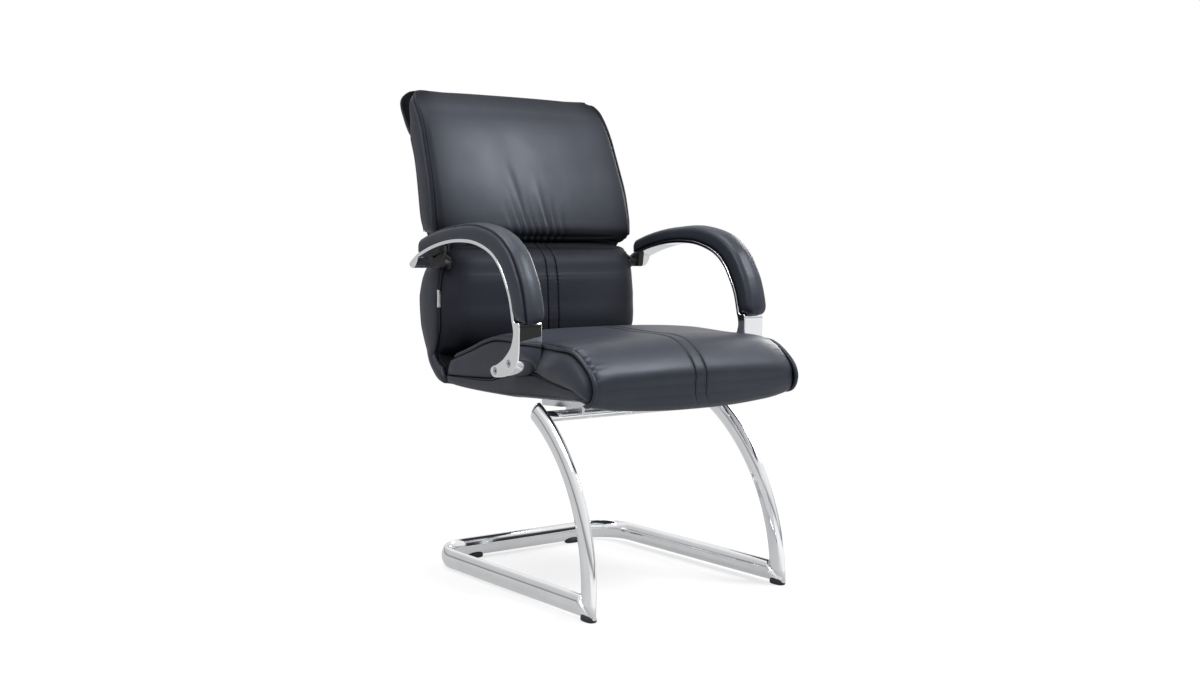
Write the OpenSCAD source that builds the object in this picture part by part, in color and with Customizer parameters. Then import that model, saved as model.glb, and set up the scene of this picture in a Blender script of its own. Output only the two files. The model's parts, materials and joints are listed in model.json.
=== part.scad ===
// Cantilever visitor chair: chromed oval tube base, bent plywood shell,
// leather cushions and looped arms. It faces -Y and stands on z = 0.

/* [Base frame] */
// Distance between the centres of the two floor rails
rail_spacing = 460; // [430:1:490]
// Distance from the front corner to the rear rail, centre to centre
rail_depth = 554; // [500:1:600]
// How far the front corner stands ahead of the middle of the chair
corner_ahead = 316.5; // [290:0.5:330]
// Radius of the two rear bends, to the tube's centre
bend_radius = 78; // [60:1:110]
// Long side of the oval tube
tube_tall = 40; // [36:1:44]
// Short side of the oval tube
tube_thin = 20; // [17:1:24]
// Radius of the oval tube's narrow edges
tube_edge = 5; // [4:0.5:7]
// Wall of the tube
tube_wall = 2; // [1.5:0.1:3]
// Straight length of the leg above the rail's centre
leg_straight = 5; // [2:1:20]
// Radius of the curved leg, to the tube's centre
leg_radius = 377; // [360:1:385]
// Angle that the curved leg turns through
leg_sweep = 59.5; // [57:0.5:61]
// Inward lean of each leg
leg_lean = 2.6; // [0:0.1:4]
// Depth of the cap's plug inside the leg
cap_plug = 12; // [6:1:20]
// Height of a glide under the tube
glide_height = 5; // [3:0.5:8]
// Length of a glide
glide_length = 36; // [26:1:44]
// Distance of a rear glide from the middle
glide_out = 127; // [90:1:145]

/* [Seat carrier] */
// Angle along the leg's curve where the cross tube is welded
cross_angle = 56; // [54:0.5:57]
// Height of the cross tube above the leg's own curve
cross_lift = 4; // [0:0.5:6]
// Distance of the inner gussets from the middle
gusset_inner = 60; // [40:1:90]
// Distance of the outer gussets from the middle
gusset_outer = 140; // [110:1:141]
// Thickness of a gusset
gusset_thick = 6; // [4:0.5:8]
// Width of the seat plate
plate_width = 380; // [340:2:400]
// Length of the seat plate from front to back
plate_length = 188; // [170:2:200]
// Distance of the seat plate's centre ahead of the cross tube
plate_forward = 55.68; // [45:0.01:64]
// Thickness of the seat plate
plate_thick = 3; // [2.5:0.5:4]
// Height of the gussets between the cross tube and the seat plate
gusset_height = 20.58; // [12:0.01:30]
// Depth of the seat plate's rim at the rear
rim_rear = 15; // [10:1:18]
// Depth of the seat plate's rim at the front
rim_front = 8; // [6:1:12]
// Distance between the seat plate's bolts across the chair
bolt_across = 312; // [306:2:330]
// Distance between the seat plate's bolts from front to back
bolt_along = 140; // [120:2:150]

/* [Shell] */
// Slope of the underside, rising to the front
seat_tilt = 2.3; // [1:0.1:4]
// Distance of the shell's front edge ahead of the middle
shell_ahead = 318; // [300:1:330]
// Distance of the lower back's rearmost line behind the middle
back_behind = 255; // [248:1:262]
// Lean of the back, from its waist to its top
back_lean = 88; // [78:1:98]
// Height of the back above the seat's underside
back_rise = 612; // [590:1:630]
// Distance of the plywood shell's side edge inside the seat's side
shell_inset = 21; // [12:1:34]
// Thickness of the plywood shell
shell_thick = 12; // [9:1:14]
// Thickness of the padded leather cover behind and below the shell
cover_thick = 12; // [8:1:14]

/* [Cushions] */
// Width of the seat over its side panels
seat_width = 490; // [470:2:520]
// How much narrower the upper back is than the seat
back_narrower = 8; // [0:1:16]
// Thickness of a side panel
panel_thick = 6; // [4:0.5:8]
// Thickness of the upper back's side band
band_thick = 5; // [3:0.5:7]
// Radius of a cushion's round side edge
cushion_edge = 7; // [4:0.5:10]
// Crown of the seat cushion at its middle
seat_crown = 10; // [5:1:14]
// Crown of the lower back cushion at its middle
lumbar_crown = 8; // [4:1:10]
// Depth of the lower back cushion's round side
lumbar_side = 46; // [40:1:48]
// Width of the lower back cushion's round side
lumbar_round = 18; // [12:1:24]
// Crown of the upper back cushion at its middle
back_crown = 8; // [4:1:14]
// Sag of the top roll at its middle
roll_sag = 4.5; // [0:0.5:6]
// Radius of the upper back's top corners
corner_radius = 30; // [20:1:40]
// Depth of the sewn channel at each side of the strip
channel_depth = 2.5; // [1:0.5:4]
// Radius of the piping cord
piping_radius = 3; // [2:0.5:4]

/* [Arms] */
// Width of the arm bar and its pad
arm_width = 50; // [44:1:56]
// Gap that a spacer fills between the seat's side and the arm
spacer_thick = 2; // [1:0.5:5]
// Thickness of the arm bar under the pad
bar_thick = 7; // [6:0.5:8]
// Thickness of the arm pad at the front
pad_front = 39; // [34:1:42]
// Thickness of the arm pad at the top
pad_top = 26.5; // [24:0.5:30]
// Edge radius of the arm pad
pad_edge = 13; // [8:1:16]
// Radius of the arm bolts
arm_bolt_radius = 4; // [3:0.5:5]

/* [Hidden] */
chrome = [0.82, 0.83, 0.85];
leather = [0.17, 0.18, 0.21];
steel = [0.55, 0.56, 0.58];
plywood = [0.76, 0.62, 0.42];
rubber = [0.06, 0.06, 0.07];
$fn = 64;
// Clearance between pieces that lie beside each other
gap = 0.3;
fit = 0.15;
far = 900;

rail_x = rail_spacing / 2;
rail_z = glide_height + tube_tall / 2;
rear_y = rail_depth - corner_ahead;
leg_centre = [-corner_ahead + leg_radius, rail_z + leg_straight];
cross_at = [leg_centre[0] - leg_radius * cos(cross_angle),
            leg_centre[1] + leg_radius * sin(cross_angle) + cross_lift];
cross_reach = rail_x - (cross_at[1] - rail_z) * tan(leg_lean);
plate_ahead = plate_forward - cross_at[0];
// The underside rises to the front; its lowest line lies at this y
hinge_y = -60;
seat_under = cross_at[1] + tube_thin / 2 + gusset_height + plate_thick
    - (hinge_y - cross_at[0]) * tan(seat_tilt);
shell_width = seat_width - 2 * shell_inset;
back_width = seat_width - back_narrower;

// The tube's section: two wide arcs that run into two small end circles
module oval(thin, tall, edge) {
    half = thin / 2;
    end = tall / 2 - edge;
    wide = (half * half + end * end - edge * edge) / (2 * (half - edge));
    intersection() {
        translate([half - wide, 0]) circle(wide, $fn = 180);
        translate([wide - half, 0]) circle(wide, $fn = 180);
        square([thin, 2 * end * wide / (wide - edge)], center = true);
    }
    for (s = [-1, 1]) translate([0, s * end]) circle(edge);
}

module tube_section(solid = false, grow = 0) {
    difference() {
        oval(tube_thin + 2 * grow, tube_tall + 2 * grow, tube_edge + grow);
        if (!solid) oval(tube_thin - 2 * tube_wall, tube_tall - 2 * tube_wall, tube_edge - tube_wall);
    }
}

// The half space above and ahead of the 45 degree mitre at the front corner
module above_mitre() {
    translate([-far, -corner_ahead, rail_z]) rotate([45, 0, 0]) translate([0, -far, 0])
        cube([2 * far, 2 * far, far]);
}

module rail_run(solid = false) {
    side = rear_y - bend_radius + corner_ahead + tube_tall;
    for (s = [-1, 1]) {
        translate([s * rail_x, -corner_ahead - tube_tall, rail_z]) rotate([-90, 0, 0])
            linear_extrude(side) tube_section(solid);
        translate([s * (rail_x - bend_radius), rear_y - bend_radius, rail_z]) mirror([s < 0 ? 1 : 0, 0, 0])
            rotate_extrude(angle = 90, $fn = 180) translate([bend_radius, 0]) tube_section(solid);
    }
    translate([bend_radius - rail_x, rear_y, rail_z]) rotate([90, 0, 90])
        linear_extrude(2 * (rail_x - bend_radius)) tube_section(solid);
}

module floor_rail() color(chrome) difference() {
    rail_run();
    above_mitre();
    glide_places() cylinder(h = glide_height + tube_tall / 2, r = screw_radius + fit);
}

// Children drawn in the leg's own plane, on the +X side
module leg_plane() {
    translate([rail_x, -corner_ahead, rail_z]) rotate([0, -leg_lean, 0])
        translate([0, leg_radius, leg_straight]) rotate([90, 0, -90]) children();
}

module leg_run(solid = false, grow = 0) {
    leg_plane() {
        rotate_extrude(angle = leg_sweep, $fn = 360) translate([leg_radius, 0]) rotate(90)
            tube_section(solid, grow);
        translate([leg_radius, 0, 0]) rotate([90, 0, 0])
            linear_extrude(leg_straight + tube_tall) rotate(90) tube_section(solid, grow);
    }
}

module leg() intersection() {
    leg_run();
    above_mitre();
}

module leg_left() color(chrome) leg();

module leg_right() color(chrome) mirror([1, 0, 0]) leg();

module both_sides() {
    children();
    mirror([1, 0, 0]) children();
}

module leg_caps() color(chrome) both_sides() leg_plane() rotate([0, 0, leg_sweep])
    translate([leg_radius, 0, 0]) rotate([-90, 0, 0]) {
        linear_extrude(2) rotate(90) tube_section(true);
        translate([0, 0, 2]) linear_extrude(1.5)
            rotate(90) oval(tube_thin - 4, tube_tall - 4, tube_edge - 2);
        translate([0, 0, -cap_plug]) linear_extrude(cap_plug) rotate(90)
            oval(tube_thin - 2 * tube_wall - 2 * fit, tube_tall - 2 * tube_wall - 2 * fit,
                 tube_edge - tube_wall - fit);
    }

screw_radius = 2.1;
glide_wall = 6;
front_glide_y = -corner_ahead - tube_tall / 2 + 2 + glide_length / 2;

module front_places() {
    for (s = [-1, 1]) translate([s * rail_x, front_glide_y, 0]) children();
}

module rear_places() {
    for (s = [-1, 1]) translate([s * glide_out, rear_y, 0]) rotate(90) children();
}

module glide_places() {
    front_places() children();
    rear_places() children();
}

module glide() difference() {
    translate([-tube_thin / 2, -glide_length / 2, 0])
        cube([tube_thin, glide_length, glide_height + glide_wall]);
    translate([0, -glide_length, rail_z]) rotate([-90, 0, 0])
        linear_extrude(2 * glide_length) tube_section(true);
    translate([0, 0, -1]) cylinder(h = far, r = screw_radius + fit);
    translate([0, 0, -1]) cylinder(h = 1 + glide_height / 2, r = 2 * screw_radius + fit);
}

module front_glides() color(rubber) difference() {
    front_places() glide();
    both_sides() intersection() {
        leg_run(true);
        above_mitre();
    }
}

module rear_glides() color(rubber) rear_places() glide();

module glide_screws() color(steel) glide_places() {
    translate([0, 0, glide_height / 2 - screw_radius]) cylinder(h = screw_radius, r = 2 * screw_radius);
    translate([0, 0, glide_height / 2 - screw_radius])
        cylinder(h = glide_height / 2 + screw_radius + tube_wall + 4, r = screw_radius);
}

module cross_run(solid = false) {
    translate([-cross_reach, cross_at[0], cross_at[1]]) rotate([90, 0, 90])
        linear_extrude(2 * cross_reach) rotate(90) tube_section(solid);
}

module cross_tube() color(chrome) difference() {
    cross_run();
    both_sides() leg_run(true);
}

function under_z(y) = seat_under + (hinge_y - y) * tan(seat_tilt);

// Children drawn on the underside, with z = 0 on the cover's outer face
module on_underside() {
    translate([0, -plate_ahead, under_z(-plate_ahead)]) rotate([-seat_tilt, 0, 0]) children();
}

module gusset(x) {
    reach = tube_tall / 2 + 7;
    drop = (plate_thick + 0.02) / cos(seat_tilt);
    low = cross_at[0] - reach;
    high = cross_at[0] + reach;
    difference() {
        slab([[low, cross_at[1]], [high, cross_at[1]], [high, under_z(high) - drop],
              [low, under_z(low) - drop]], x - gusset_thick / 2, x + gusset_thick / 2);
        cross_run(true);
    }
}

module gussets() color(chrome) for (s = [-1, 1]) {
    gusset(s * gusset_inner);
    gusset(s * gusset_outer);
}

module plate_bolt_places() {
    for (x = [-1, 1], y = [-1, 1]) translate([x * bolt_across / 2, y * bolt_along / 2, 0]) children();
}

module seat_plate() color(chrome) on_underside() difference() {
    side = plate_length / 2;
    translate([-plate_width / 2, 0, 0]) rotate([90, 0, 90]) linear_extrude(plate_width)
        polygon([[-side, 0], [side, 0], [side, -rim_rear + 3], [side - 3, -rim_rear],
                 [side / 3, -rim_rear], [-side, -rim_front]]);
    translate([plate_thick - plate_width / 2, plate_thick - side, -far])
        cube([plate_width - 2 * plate_thick, plate_length - 2 * plate_thick, far - plate_thick]);
    plate_bolt_places() translate([0, 0, -2 * plate_thick]) cylinder(h = 4 * plate_thick, r = bolt_hole);
    translate([-plate_width, 0, -plate_thick - 3]) rotate([0, 90, 0]) cylinder(h = 2 * plate_width, r = 2.5);
}

bolt_radius = 4;
bolt_hole = bolt_radius + 0.4;
washer_thick = 1.6;
stack = cover_thick + shell_thick;

module plate_washers() color(steel) on_underside() plate_bolt_places()
    translate([0, 0, -plate_thick - washer_thick]) difference() {
        cylinder(h = washer_thick, r = 8.5);
        translate([0, 0, -1]) cylinder(h = washer_thick + 2, r = bolt_hole);
    }

// A hex socket screw with its head's seat at z = 0 and its shank towards +z
module socket_screw(radius, length) difference() {
    union() {
        translate([0, 0, -1.3 * radius]) cylinder(h = 1.3 * radius, r = 1.7 * radius);
        cylinder(h = length, r = radius);
    }
    translate([0, 0, -1.4 * radius]) cylinder(h = radius, r = 0.8 * radius, $fn = 6);
}

module plate_bolts() color(steel) on_underside() plate_bolt_places()
    translate([0, 0, -plate_thick - washer_thick])
        socket_screw(bolt_radius, plate_thick + washer_thick + stack - 2);

nut_flange = 1.5;

module tee_nuts() color(steel) on_underside() plate_bolt_places() difference() {
    union() {
        translate([0, 0, cover_thick + 2]) cylinder(h = shell_thick - 2, r = bolt_radius + 1.2);
        translate([0, 0, stack - nut_flange]) cylinder(h = nut_flange, r = 9);
    }
    translate([0, 0, cover_thick]) cylinder(h = shell_thick - 1, r = bolt_radius + fit);
}

// A point on the smooth curve through four neighbours
function between(a, b, c, d, t) =
    0.5 * (2 * b + (c - a) * t + (2 * a - 5 * b + 4 * c - d) * t * t + (3 * b - a - 3 * c + d) * t * t * t);

// A smooth open curve through the points, with n steps between neighbours
function curve(p, n) = [for (i = [0 : len(p) - 2], k = [0 : n - 1])
    between(p[max(i - 1, 0)], p[i], p[i + 1], p[min(i + 2, len(p) - 1)], k / n), p[len(p) - 1]];

function unit(v) = v / norm(v);
function turned(v) = [-v[1], v[0]];

// The curve moved sideways by d, to the left of its direction
function shifted(p, d) = [for (i = [0 : len(p) - 1])
    p[i] + d * turned(unit(p[min(i + 1, len(p) - 1)] - p[max(i - 1, 0)]))];

function reversed(p) = [for (i = [len(p) - 1 : -1 : 0]) p[i]];

// The strip between the curve moved by d and the curve moved by e
function strip(p, d, e) = concat(shifted(p, d), reversed(shifted(p, e)));

function part_of(p, first, last) = [for (i = [first : last]) p[i]];

// A side outline in (y, z), carried across the chair from x = a to x = b
module slab(outline, a, b) {
    translate([a, 0, 0]) rotate([90, 0, 90]) linear_extrude(b - a) polygon(outline);
}

// The outer line of the chair's shell, from the seat's front edge to the top
back_y = back_behind;
top_z = seat_under + back_rise;
waist_z = seat_under + 254;
waist_y = back_y - 21;
back_up = top_z - 39 - waist_z;
function leaning(f, g) = [waist_y + f * back_lean, waist_z + g * back_up];
function under_at(y) = [y, under_z(y)];
shell_line = [
    under_at(-shell_ahead), under_at(-190), under_at(-100), under_at(hinge_y),
    [back_y - 167, seat_under + 2], [back_y - 90, seat_under + 9], [back_y - 49, seat_under + 30.5],
    [back_y - 21, seat_under + 61.5], [back_y - 6, seat_under + 112.5], [back_y, seat_under + 170],
    [back_y - 5, seat_under + 213], [waist_y, waist_z], leaning(0, 0.195), leaning(0.125, 0.335),
    leaning(0.26, 0.498), leaning(0.443, 0.665), leaning(0.68, 0.803), leaning(1, 1)];
steps = 4;
spine = curve(shell_line, steps);
seat_last = 5 * steps;
cover_last = 16 * steps;

// Part of the strip between the spine moved by d and the spine moved by e
function layer(first, last, d, e) =
    concat(part_of(shifted(spine, d), first, last), reversed(part_of(shifted(spine, e), first, last)));

module bracket_screw_places() {
    both_sides() {
        for (y = seat_screw_y) on_underside() translate([screw_x, y + plate_ahead, stack]) children();
        for (i = [0, 1]) back_screw_frame(i) children();
    }
}

module seat_shell() color(plywood) difference() {
    slab(strip(spine, cover_thick, stack), -shell_width / 2, shell_width / 2);
    on_underside() plate_bolt_places() {
        translate([0, 0, cover_thick - 1]) cylinder(h = shell_thick + 2, r = bolt_radius + 1.2 + fit);
        translate([0, 0, stack - nut_flange - 0.1]) cylinder(h = 20, r = 9 + fit);
    }
    bracket_screw_places() translate([0, 0, -9]) cylinder(h = 12, r = wood_screw + 0.05);
}

module under_cover() color(leather) difference() {
    slab(layer(0, seat_last, 0, cover_thick - 0.05), -cushion_half, cushion_half);
    on_underside() plate_bolt_places() translate([0, 0, -20]) cylinder(h = 60, r = bolt_hole);
}

module rear_cover() color(leather)
    slab(layer(seat_last, cover_last, 0, cover_thick - 0.05), -back_half, back_half);

// Cushions: a side outline of [y, z, weight] points, placed at stations
// across the chair. Each point moves along its normal by its weight times
// the crown and the round side edge. A weight w above 3 or below -3 means
// w - 3 or w + 3 times the crown, with the edge left out.
cushion_half = seat_width / 2 - panel_thick - gap;
back_half = back_width / 2 - band_thick - gap;
strip_at = 0.054;
stations = [-1, -0.995, -0.98, -0.95, -0.88, -0.72, -0.45, -0.1, -strip_at, strip_at, 0.1, 0.45, 0.72,
            0.88, 0.95, 0.98, 0.995, 1];
small_edge = [cushion_edge, cushion_edge];

function outline_normal(p, i) = let (n = len(p), a = p[(i + n - 1) % n], b = p[(i + 1) % n])
    unit([b[1] - a[1], a[0] - b[0]]);

// Rise of the round side edge, from nothing at the side to its full height
function edge_rise(u, half, edge) = let (t = (abs(u) * half - half + edge[0]) / edge[0])
    t <= 0 ? edge[1] : edge[1] * sqrt(max(0, 1 - t * t));

// Crown at a station, less the sewn channel where the cushion has one
function crown_at(u, crown, channel) =
    crown * (1 - pow(abs(u), 2.5)) - (abs(abs(u) - strip_at) < 0.001 ? channel : 0);

// Drop of a rounded top corner at a distance x from the middle
function corner_drop(x, half, radius) = let (t = (abs(x) - half + radius) / radius)
    t <= 0 ? 0 : radius * (1 - sqrt(max(0, 1 - t * t)));

// The outline as it stands at the station u
function ring(outline, u, half, crown, edge, channel, top, radius) =
    [for (i = [0 : len(outline) - 1])
        let (p = outline[i],
             normal = outline_normal(outline, i),
             move = abs(p[2]) > 3 ? (p[2] - sign(p[2]) * 3) * crown_at(u, crown, 0)
                                  : p[2] * (crown_at(u, crown, channel) + edge_rise(u, half, edge)),
             y = p[0] + move * normal[0],
             z = p[1] + move * normal[1],
             felt = radius > 0 ? pow(max(0, (z - top + 3 * radius) / (3 * radius)), 2) : 0,
             drop = radius > 0 ? corner_drop(u * half, half, radius) * felt : 0)
        [y - 0.45 * drop, z - drop]];

module cushion(outline, half, crown, edge, channel, middle, top = 0, radius = 0) {
    n = len(outline);
    m = len(stations);
    points = [for (u = stations, q = ring(outline, u, half, crown, edge, channel, top, radius))
        [u * half, q[0], q[1]]];
    ends = [for (s = [-1, 1]) [s * half, middle[0], middle[1]]];
    side_faces = [for (j = [0 : m - 2], i = [0 : n - 1])
        let (a = j * n + i, b = j * n + (i + 1) % n) each [[a, b + n, b], [a, a + n, b + n]]];
    end_faces = [for (i = [0 : n - 1]) let (k = (i + 1) % n, last = (m - 1) * n)
        each [[m * n, i, k], [m * n + 1, last + k, last + i]]];
    polyhedron(points = concat(points, ends), faces = concat(side_faces, end_faces));
}

function weighted(p, w) = [for (q = p) [q[0], q[1], w]];

// The shell's inner face, along which the cushions lie
inner = shifted(spine, stack + gap);
nose_y = -shell_ahead - 1.5;
front_y = nose_y - 26;

// Seam of the seat's side, from the rear over the top to the front edge
seat_seam_line = [[back_y - 90, 50, 0.15], [back_y - 143, 67, 0.8], [back_y - 197.5, 83.5, 1], [0, 102, 1],
                  [-52.5, 109.5, 1], [-171.5, 104, 1], [front_y + 94, 99, 1.15],
                  [front_y + 49, 87, 1.4], [front_y + 11, 59, 0.9], [front_y, 35, 0.3],
                  [front_y + 2, 14, 0.3]];
function above_seat(p) = [for (q = p) q + (len(q) == 3 ? [0, seat_under, 0] : [0, seat_under])];
function flat(p) = [for (q = p) [q[0], q[1]]];
seat_seam = curve(above_seat(seat_seam_line), 3);
seat_outline = concat(
    weighted(part_of(inner, 0, 5 * steps), 0),
    weighted([[back_y - 92, seat_under + 40]], 0),
    seat_seam,
    weighted([[front_y + 9, seat_under + 7], [front_y + 18, seat_under + 6]], 5),
    weighted([[nose_y, seat_under + 14], [nose_y, seat_under + 36]], 0));
seat_middle = [front_y + 55, seat_under + 55];

module seat_cushion() color(leather) difference() {
    cushion(seat_outline, cushion_half, seat_crown, small_edge, channel_depth, seat_middle);
    both_sides() seat_bracket_space();
}

// Front seam of the lower back cushion's side, from its top to the seat
lumbar_line = [[back_y - 76, 279, 0.25], [back_y - 80, 268, 0.4], [back_y - 81, 255, 0.6],
               [back_y - 76, 213, 1], [back_y - 74, 170, 1.04], [back_y - 75, 134, 1.06],
               [back_y - 69, 104, 1], [back_y - 58, 82, 0.45], [back_y - 49, 68, 0.1]];
lumbar_seam = curve(above_seat(lumbar_line), 2);
lumbar_outline = concat(
    weighted(part_of(inner, 6 * steps + 1, 11 * steps + 2), 0),
    weighted(above_seat([[back_y - 50, 285], [back_y - 66, 285]]), 5.1),
    lumbar_seam);

module lumbar_cushion() color(leather) difference() {
    cushion(lumbar_outline, cushion_half, lumbar_crown, [lumbar_round, lumbar_side], channel_depth,
            [back_y - 52, seat_under + 170]);
    both_sides() back_bracket_space();
}

// Seam of the upper back, from its top edge down to the lower cushion
seam_low = seat_under + 306;
upper_line = [[47, 298, 0.3], [26, 275, 0.5], [9, 251, 0.8], [-7, 221, 0.9], [-20.5, 186, 1],
              [-35.5, 146, 1], [-48.5, 110, 1.1], [-57, 76, 1.3], [-63.5, 37, 1.6], [-66, 13, 1.8],
              [-66, 2, 1.2]];
upper_seam = curve([for (q = upper_line)
    let (f = q[1] / 298)
    [back_y + q[0] + f * (back_lean - 88), seam_low + f * (top_z - 8 - seam_low), q[2]]], 2);
upper_outline = concat(
    weighted(part_of(inner, 11 * steps + 3, 17 * steps), 0),
    upper_seam,
    weighted([[back_y - 63, seam_low - 7], [back_y - 56, seam_low - 11]], -4.6));
seam_count = len(upper_seam);
upper_middle = [back_y - 13 + (back_lean - 88) / 2, seam_low + 0.62 * (top_z - seam_low)];

module upper_back_cushion() color(leather)
    cushion(upper_outline, back_half, back_crown, small_edge, 0, upper_middle, top_z,
            corner_radius);

// The padded roll over the shell's top edge
roll_line = [[-7, -97], [15, -74], [31, -50], [42.5, -31], [43.5, -15], [33, -4], [16, 1], [2, 1]];
roll_y = back_y + 51 + (back_lean - 88);
roll_face = shifted(spine, cover_thick - gap);
roll_outline = concat(
    weighted(curve([for (q = roll_line) [roll_y + q[0], top_z + q[1]]], 3), 1),
    weighted([[roll_y + 3, top_z - 20]], 0),
    weighted(reversed(part_of(roll_face, 16 * steps + 1, 17 * steps)), 0));

module top_roll() color(leather)
    cushion(roll_outline, back_half, -roll_sag, [cushion_edge, 2], 0, [roll_y + 16, top_z - 42], top_z, 14);

// Side panels, skirts and bands that close the upholstery's sides
panel_x = cushion_half + gap;
seat_side = seat_width / 2;
lower_seam = curve(above_seat([[back_y - 100, 27], [0, 30], [-60, 41], [-155, 54], [-225, 40],
                               [-shell_ahead + 4, 31]]), 4);

module seat_panel() color(leather) difference() {
    slab(concat(shifted(part_of(flat(seat_seam), 2, len(seat_seam) - 2), gap), reversed(lower_seam)),
         panel_x, seat_side);
    for (p = seat_bolts) bolt_line(p) cylinder(h = far, r = spacer_radius + gap);
}

module seat_panel_left() seat_panel();

module seat_panel_right() mirror([1, 0, 0]) seat_panel();

module seat_skirt() color(leather) difference() {
    slab(concat(shifted(part_of(spine, 0, seat_last - 1), 8), [[back_y - 96, seat_under + 24]],
                shifted(lower_seam, gap)), panel_x, seat_side - 1);
    for (p = seat_bolts) bolt_line(p) cylinder(h = far, r = spacer_radius + gap);
}

module seat_skirt_left() seat_skirt();

module seat_skirt_right() mirror([1, 0, 0]) seat_skirt();

module lumbar_panel() color(leather)
    slab(concat(part_of(spine, 7 * steps, 11 * steps - 1), shifted(flat(lumbar_seam), gap)),
         panel_x, seat_side);

module lumbar_panel_left() lumbar_panel();

module lumbar_panel_right() mirror([1, 0, 0]) lumbar_panel();

upper_edge = ring(upper_outline, 1, back_half, back_crown, small_edge, 0, top_z, corner_radius);

band_edge = part_of(upper_edge, len(upper_edge) - seam_count, len(upper_edge) - 2);

module back_band() color(leather)
    slab(concat(part_of(spine, 12 * steps, cover_last), band_edge), back_half + gap, back_width / 2);

module back_band_left() back_band();

module back_band_right() mirror([1, 0, 0]) back_band();

// A round cord along a side seam at a distance x from the middle
module cord(line, x) {
    sides = 6;
    n = len(line);
    points = [for (i = [0 : n - 1], k = [0 : sides - 1])
        let (along = unit(line[min(i + 1, n - 1)] - line[max(i - 1, 0)]), across = turned(along),
             q = line[i] + piping_radius * sin(360 * k / sides) * across)
        [x + piping_radius * cos(360 * k / sides), q[0], q[1]]];
    side_faces = [for (i = [0 : n - 2], k = [0 : sides - 1])
        let (a = i * sides + k, b = i * sides + (k + 1) % sides)
            each [[a, b, b + sides], [a, b + sides, a + sides]]];
    ends = [for (k = [1 : sides - 2]) each [[0, k + 1, k], [(n - 1) * sides, (n - 1) * sides + k,
                                                            (n - 1) * sides + k + 1]]];
    polyhedron(points = points, faces = concat(side_faces, ends));
}

cord_out = piping_radius + gap;

module seat_piping() color(leather)
    cord(shifted(part_of(flat(seat_seam), 3, len(seat_seam) - 1), -cord_out), panel_x + piping_radius);

module seat_piping_left() seat_piping();

module seat_piping_right() mirror([1, 0, 0]) seat_piping();

module back_piping() color(leather)
    cord(shifted(part_of(band_edge, 1, len(band_edge) - 1), -cord_out), back_half + gap + piping_radius);

module back_piping_left() back_piping();

module back_piping_right() mirror([1, 0, 0]) back_piping();

// A small blank tag sewn into the side seam, on the sitter's right
module side_tag() color("white")
    translate([-panel_x - 8, back_y - 76.2, waist_z - 91]) cube([8, 1, 35]);

// Arms: the line where the bar meets its pad, from the rear to the front
arm_line = [[173, 648.5], [120.6, 664], [62, 674.5], [5.6, 677.5], [-49, 672.5], [-101.4, 655],
            [-135.4, 628], [-158.7, 592], [-170.1, 567], [-176.5, 542], [-179.5, 528]];
function arm_at(p) = [for (q = p) [q[0], q[1] - 376.5 + seat_under]];
arm_curve = curve(arm_at(arm_line), 4);
bar_inner = shifted(arm_curve, bar_thick);
tail = arm_at([[175, 633], [180, 627], [184, 623], [191, 619.5], [199.5, 620.8], [204.6, 624], [205.5, 627],
               [203, 631], [195, 636.2]]);
post_front = arm_at([[-197, 524], [-197.5, 500], [-196, 470], [-190.5, 453], [-174, 437], [-150.6, 426.5],
                     [-119.9, 422.7], [-108, 424], [-100.5, 432], [-104, 441]]);
post_rear = arm_at([[-120, 446], [-144, 458.4], [-168, 480], [-177, 502], [-176, 517]]);
arm_inner = seat_side + spacer_thick;
arm_outer = arm_inner + arm_width;
seat_bolts = arm_at([[-117, 434.5], [-163, 451]]);
back_bolts = arm_at([[164, 629]]);
spacer_radius = 8;
tab_thick = 5;
counterbore = 6;

// Children drawn along the X axis through the side point p, outwards
module bolt_line(p) translate([0, p[0], p[1]]) rotate([0, 90, 0]) children();

module arm_bar() color(chrome) difference() {
    union() {
        slab(concat(arm_curve, post_front, curve(post_rear, 3), reversed(bar_inner), tail),
             arm_inner, arm_outer);
        slab(arm_at([[146, 649], [150, 622], [153, 619.5], [188, 619.5], [188, 630], [166, 642]]),
             arm_inner, arm_inner + tab_thick);
    }
    for (p = seat_bolts) bolt_line(p) {
        cylinder(h = far, r = arm_bolt_radius + fit);
        translate([0, 0, arm_outer - counterbore]) cylinder(h = far, r = 1.7 * arm_bolt_radius + gap);
    }
    for (p = back_bolts) bolt_line(p) cylinder(h = far, r = arm_bolt_radius + fit);
    pad_screw_places() {
        cylinder(h = 3 * bar_thick, r = pad_screw + fit, center = true);
        translate([0, 0, -3 * bar_thick]) cylinder(h = 2 * bar_thick + pad_head, r = 2 * pad_screw + fit);
    }
}

module arm_bar_left() arm_bar();

module arm_bar_right() mirror([1, 0, 0]) arm_bar();

pad_screw = 2.2;
pad_head = 3;
core_thick = 3.5;

// Children at each pad screw of the left arm, with +z into the pad
module pad_screw_places() {
    for (i = [3, 13, 26]) {
        out = -turned(unit(arm_curve[i + 1] - arm_curve[i]));
        middle = (arm_curve[i] + arm_curve[i + 1]) / 2;
        translate([arm_inner + arm_width / 2, middle[0], middle[1]])
            rotate([atan2(-out[0], out[1]), 0, 0]) children();
    }
}

module pad_screws() color(steel) both_sides() pad_screw_places() {
    translate([0, 0, pad_head - bar_thick - 2]) cylinder(h = 2, r = 2 * pad_screw);
    translate([0, 0, pad_head - bar_thick - 2])
        cylinder(h = bar_thick - pad_head + 2 + core_thick - 0.5, r = pad_screw);
}

// The line of the pad's base, at every second point of the bar's line
pad_rings = (len(arm_curve) - 1) / 2;
function pad_way(j) = unit(arm_curve[min(2 * j + 1, 2 * pad_rings)] - arm_curve[max(2 * j - 1, 0)]);
pad_line = [for (j = [0 : pad_rings]) arm_curve[2 * j] - core_thick * turned(pad_way(j))];

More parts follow.
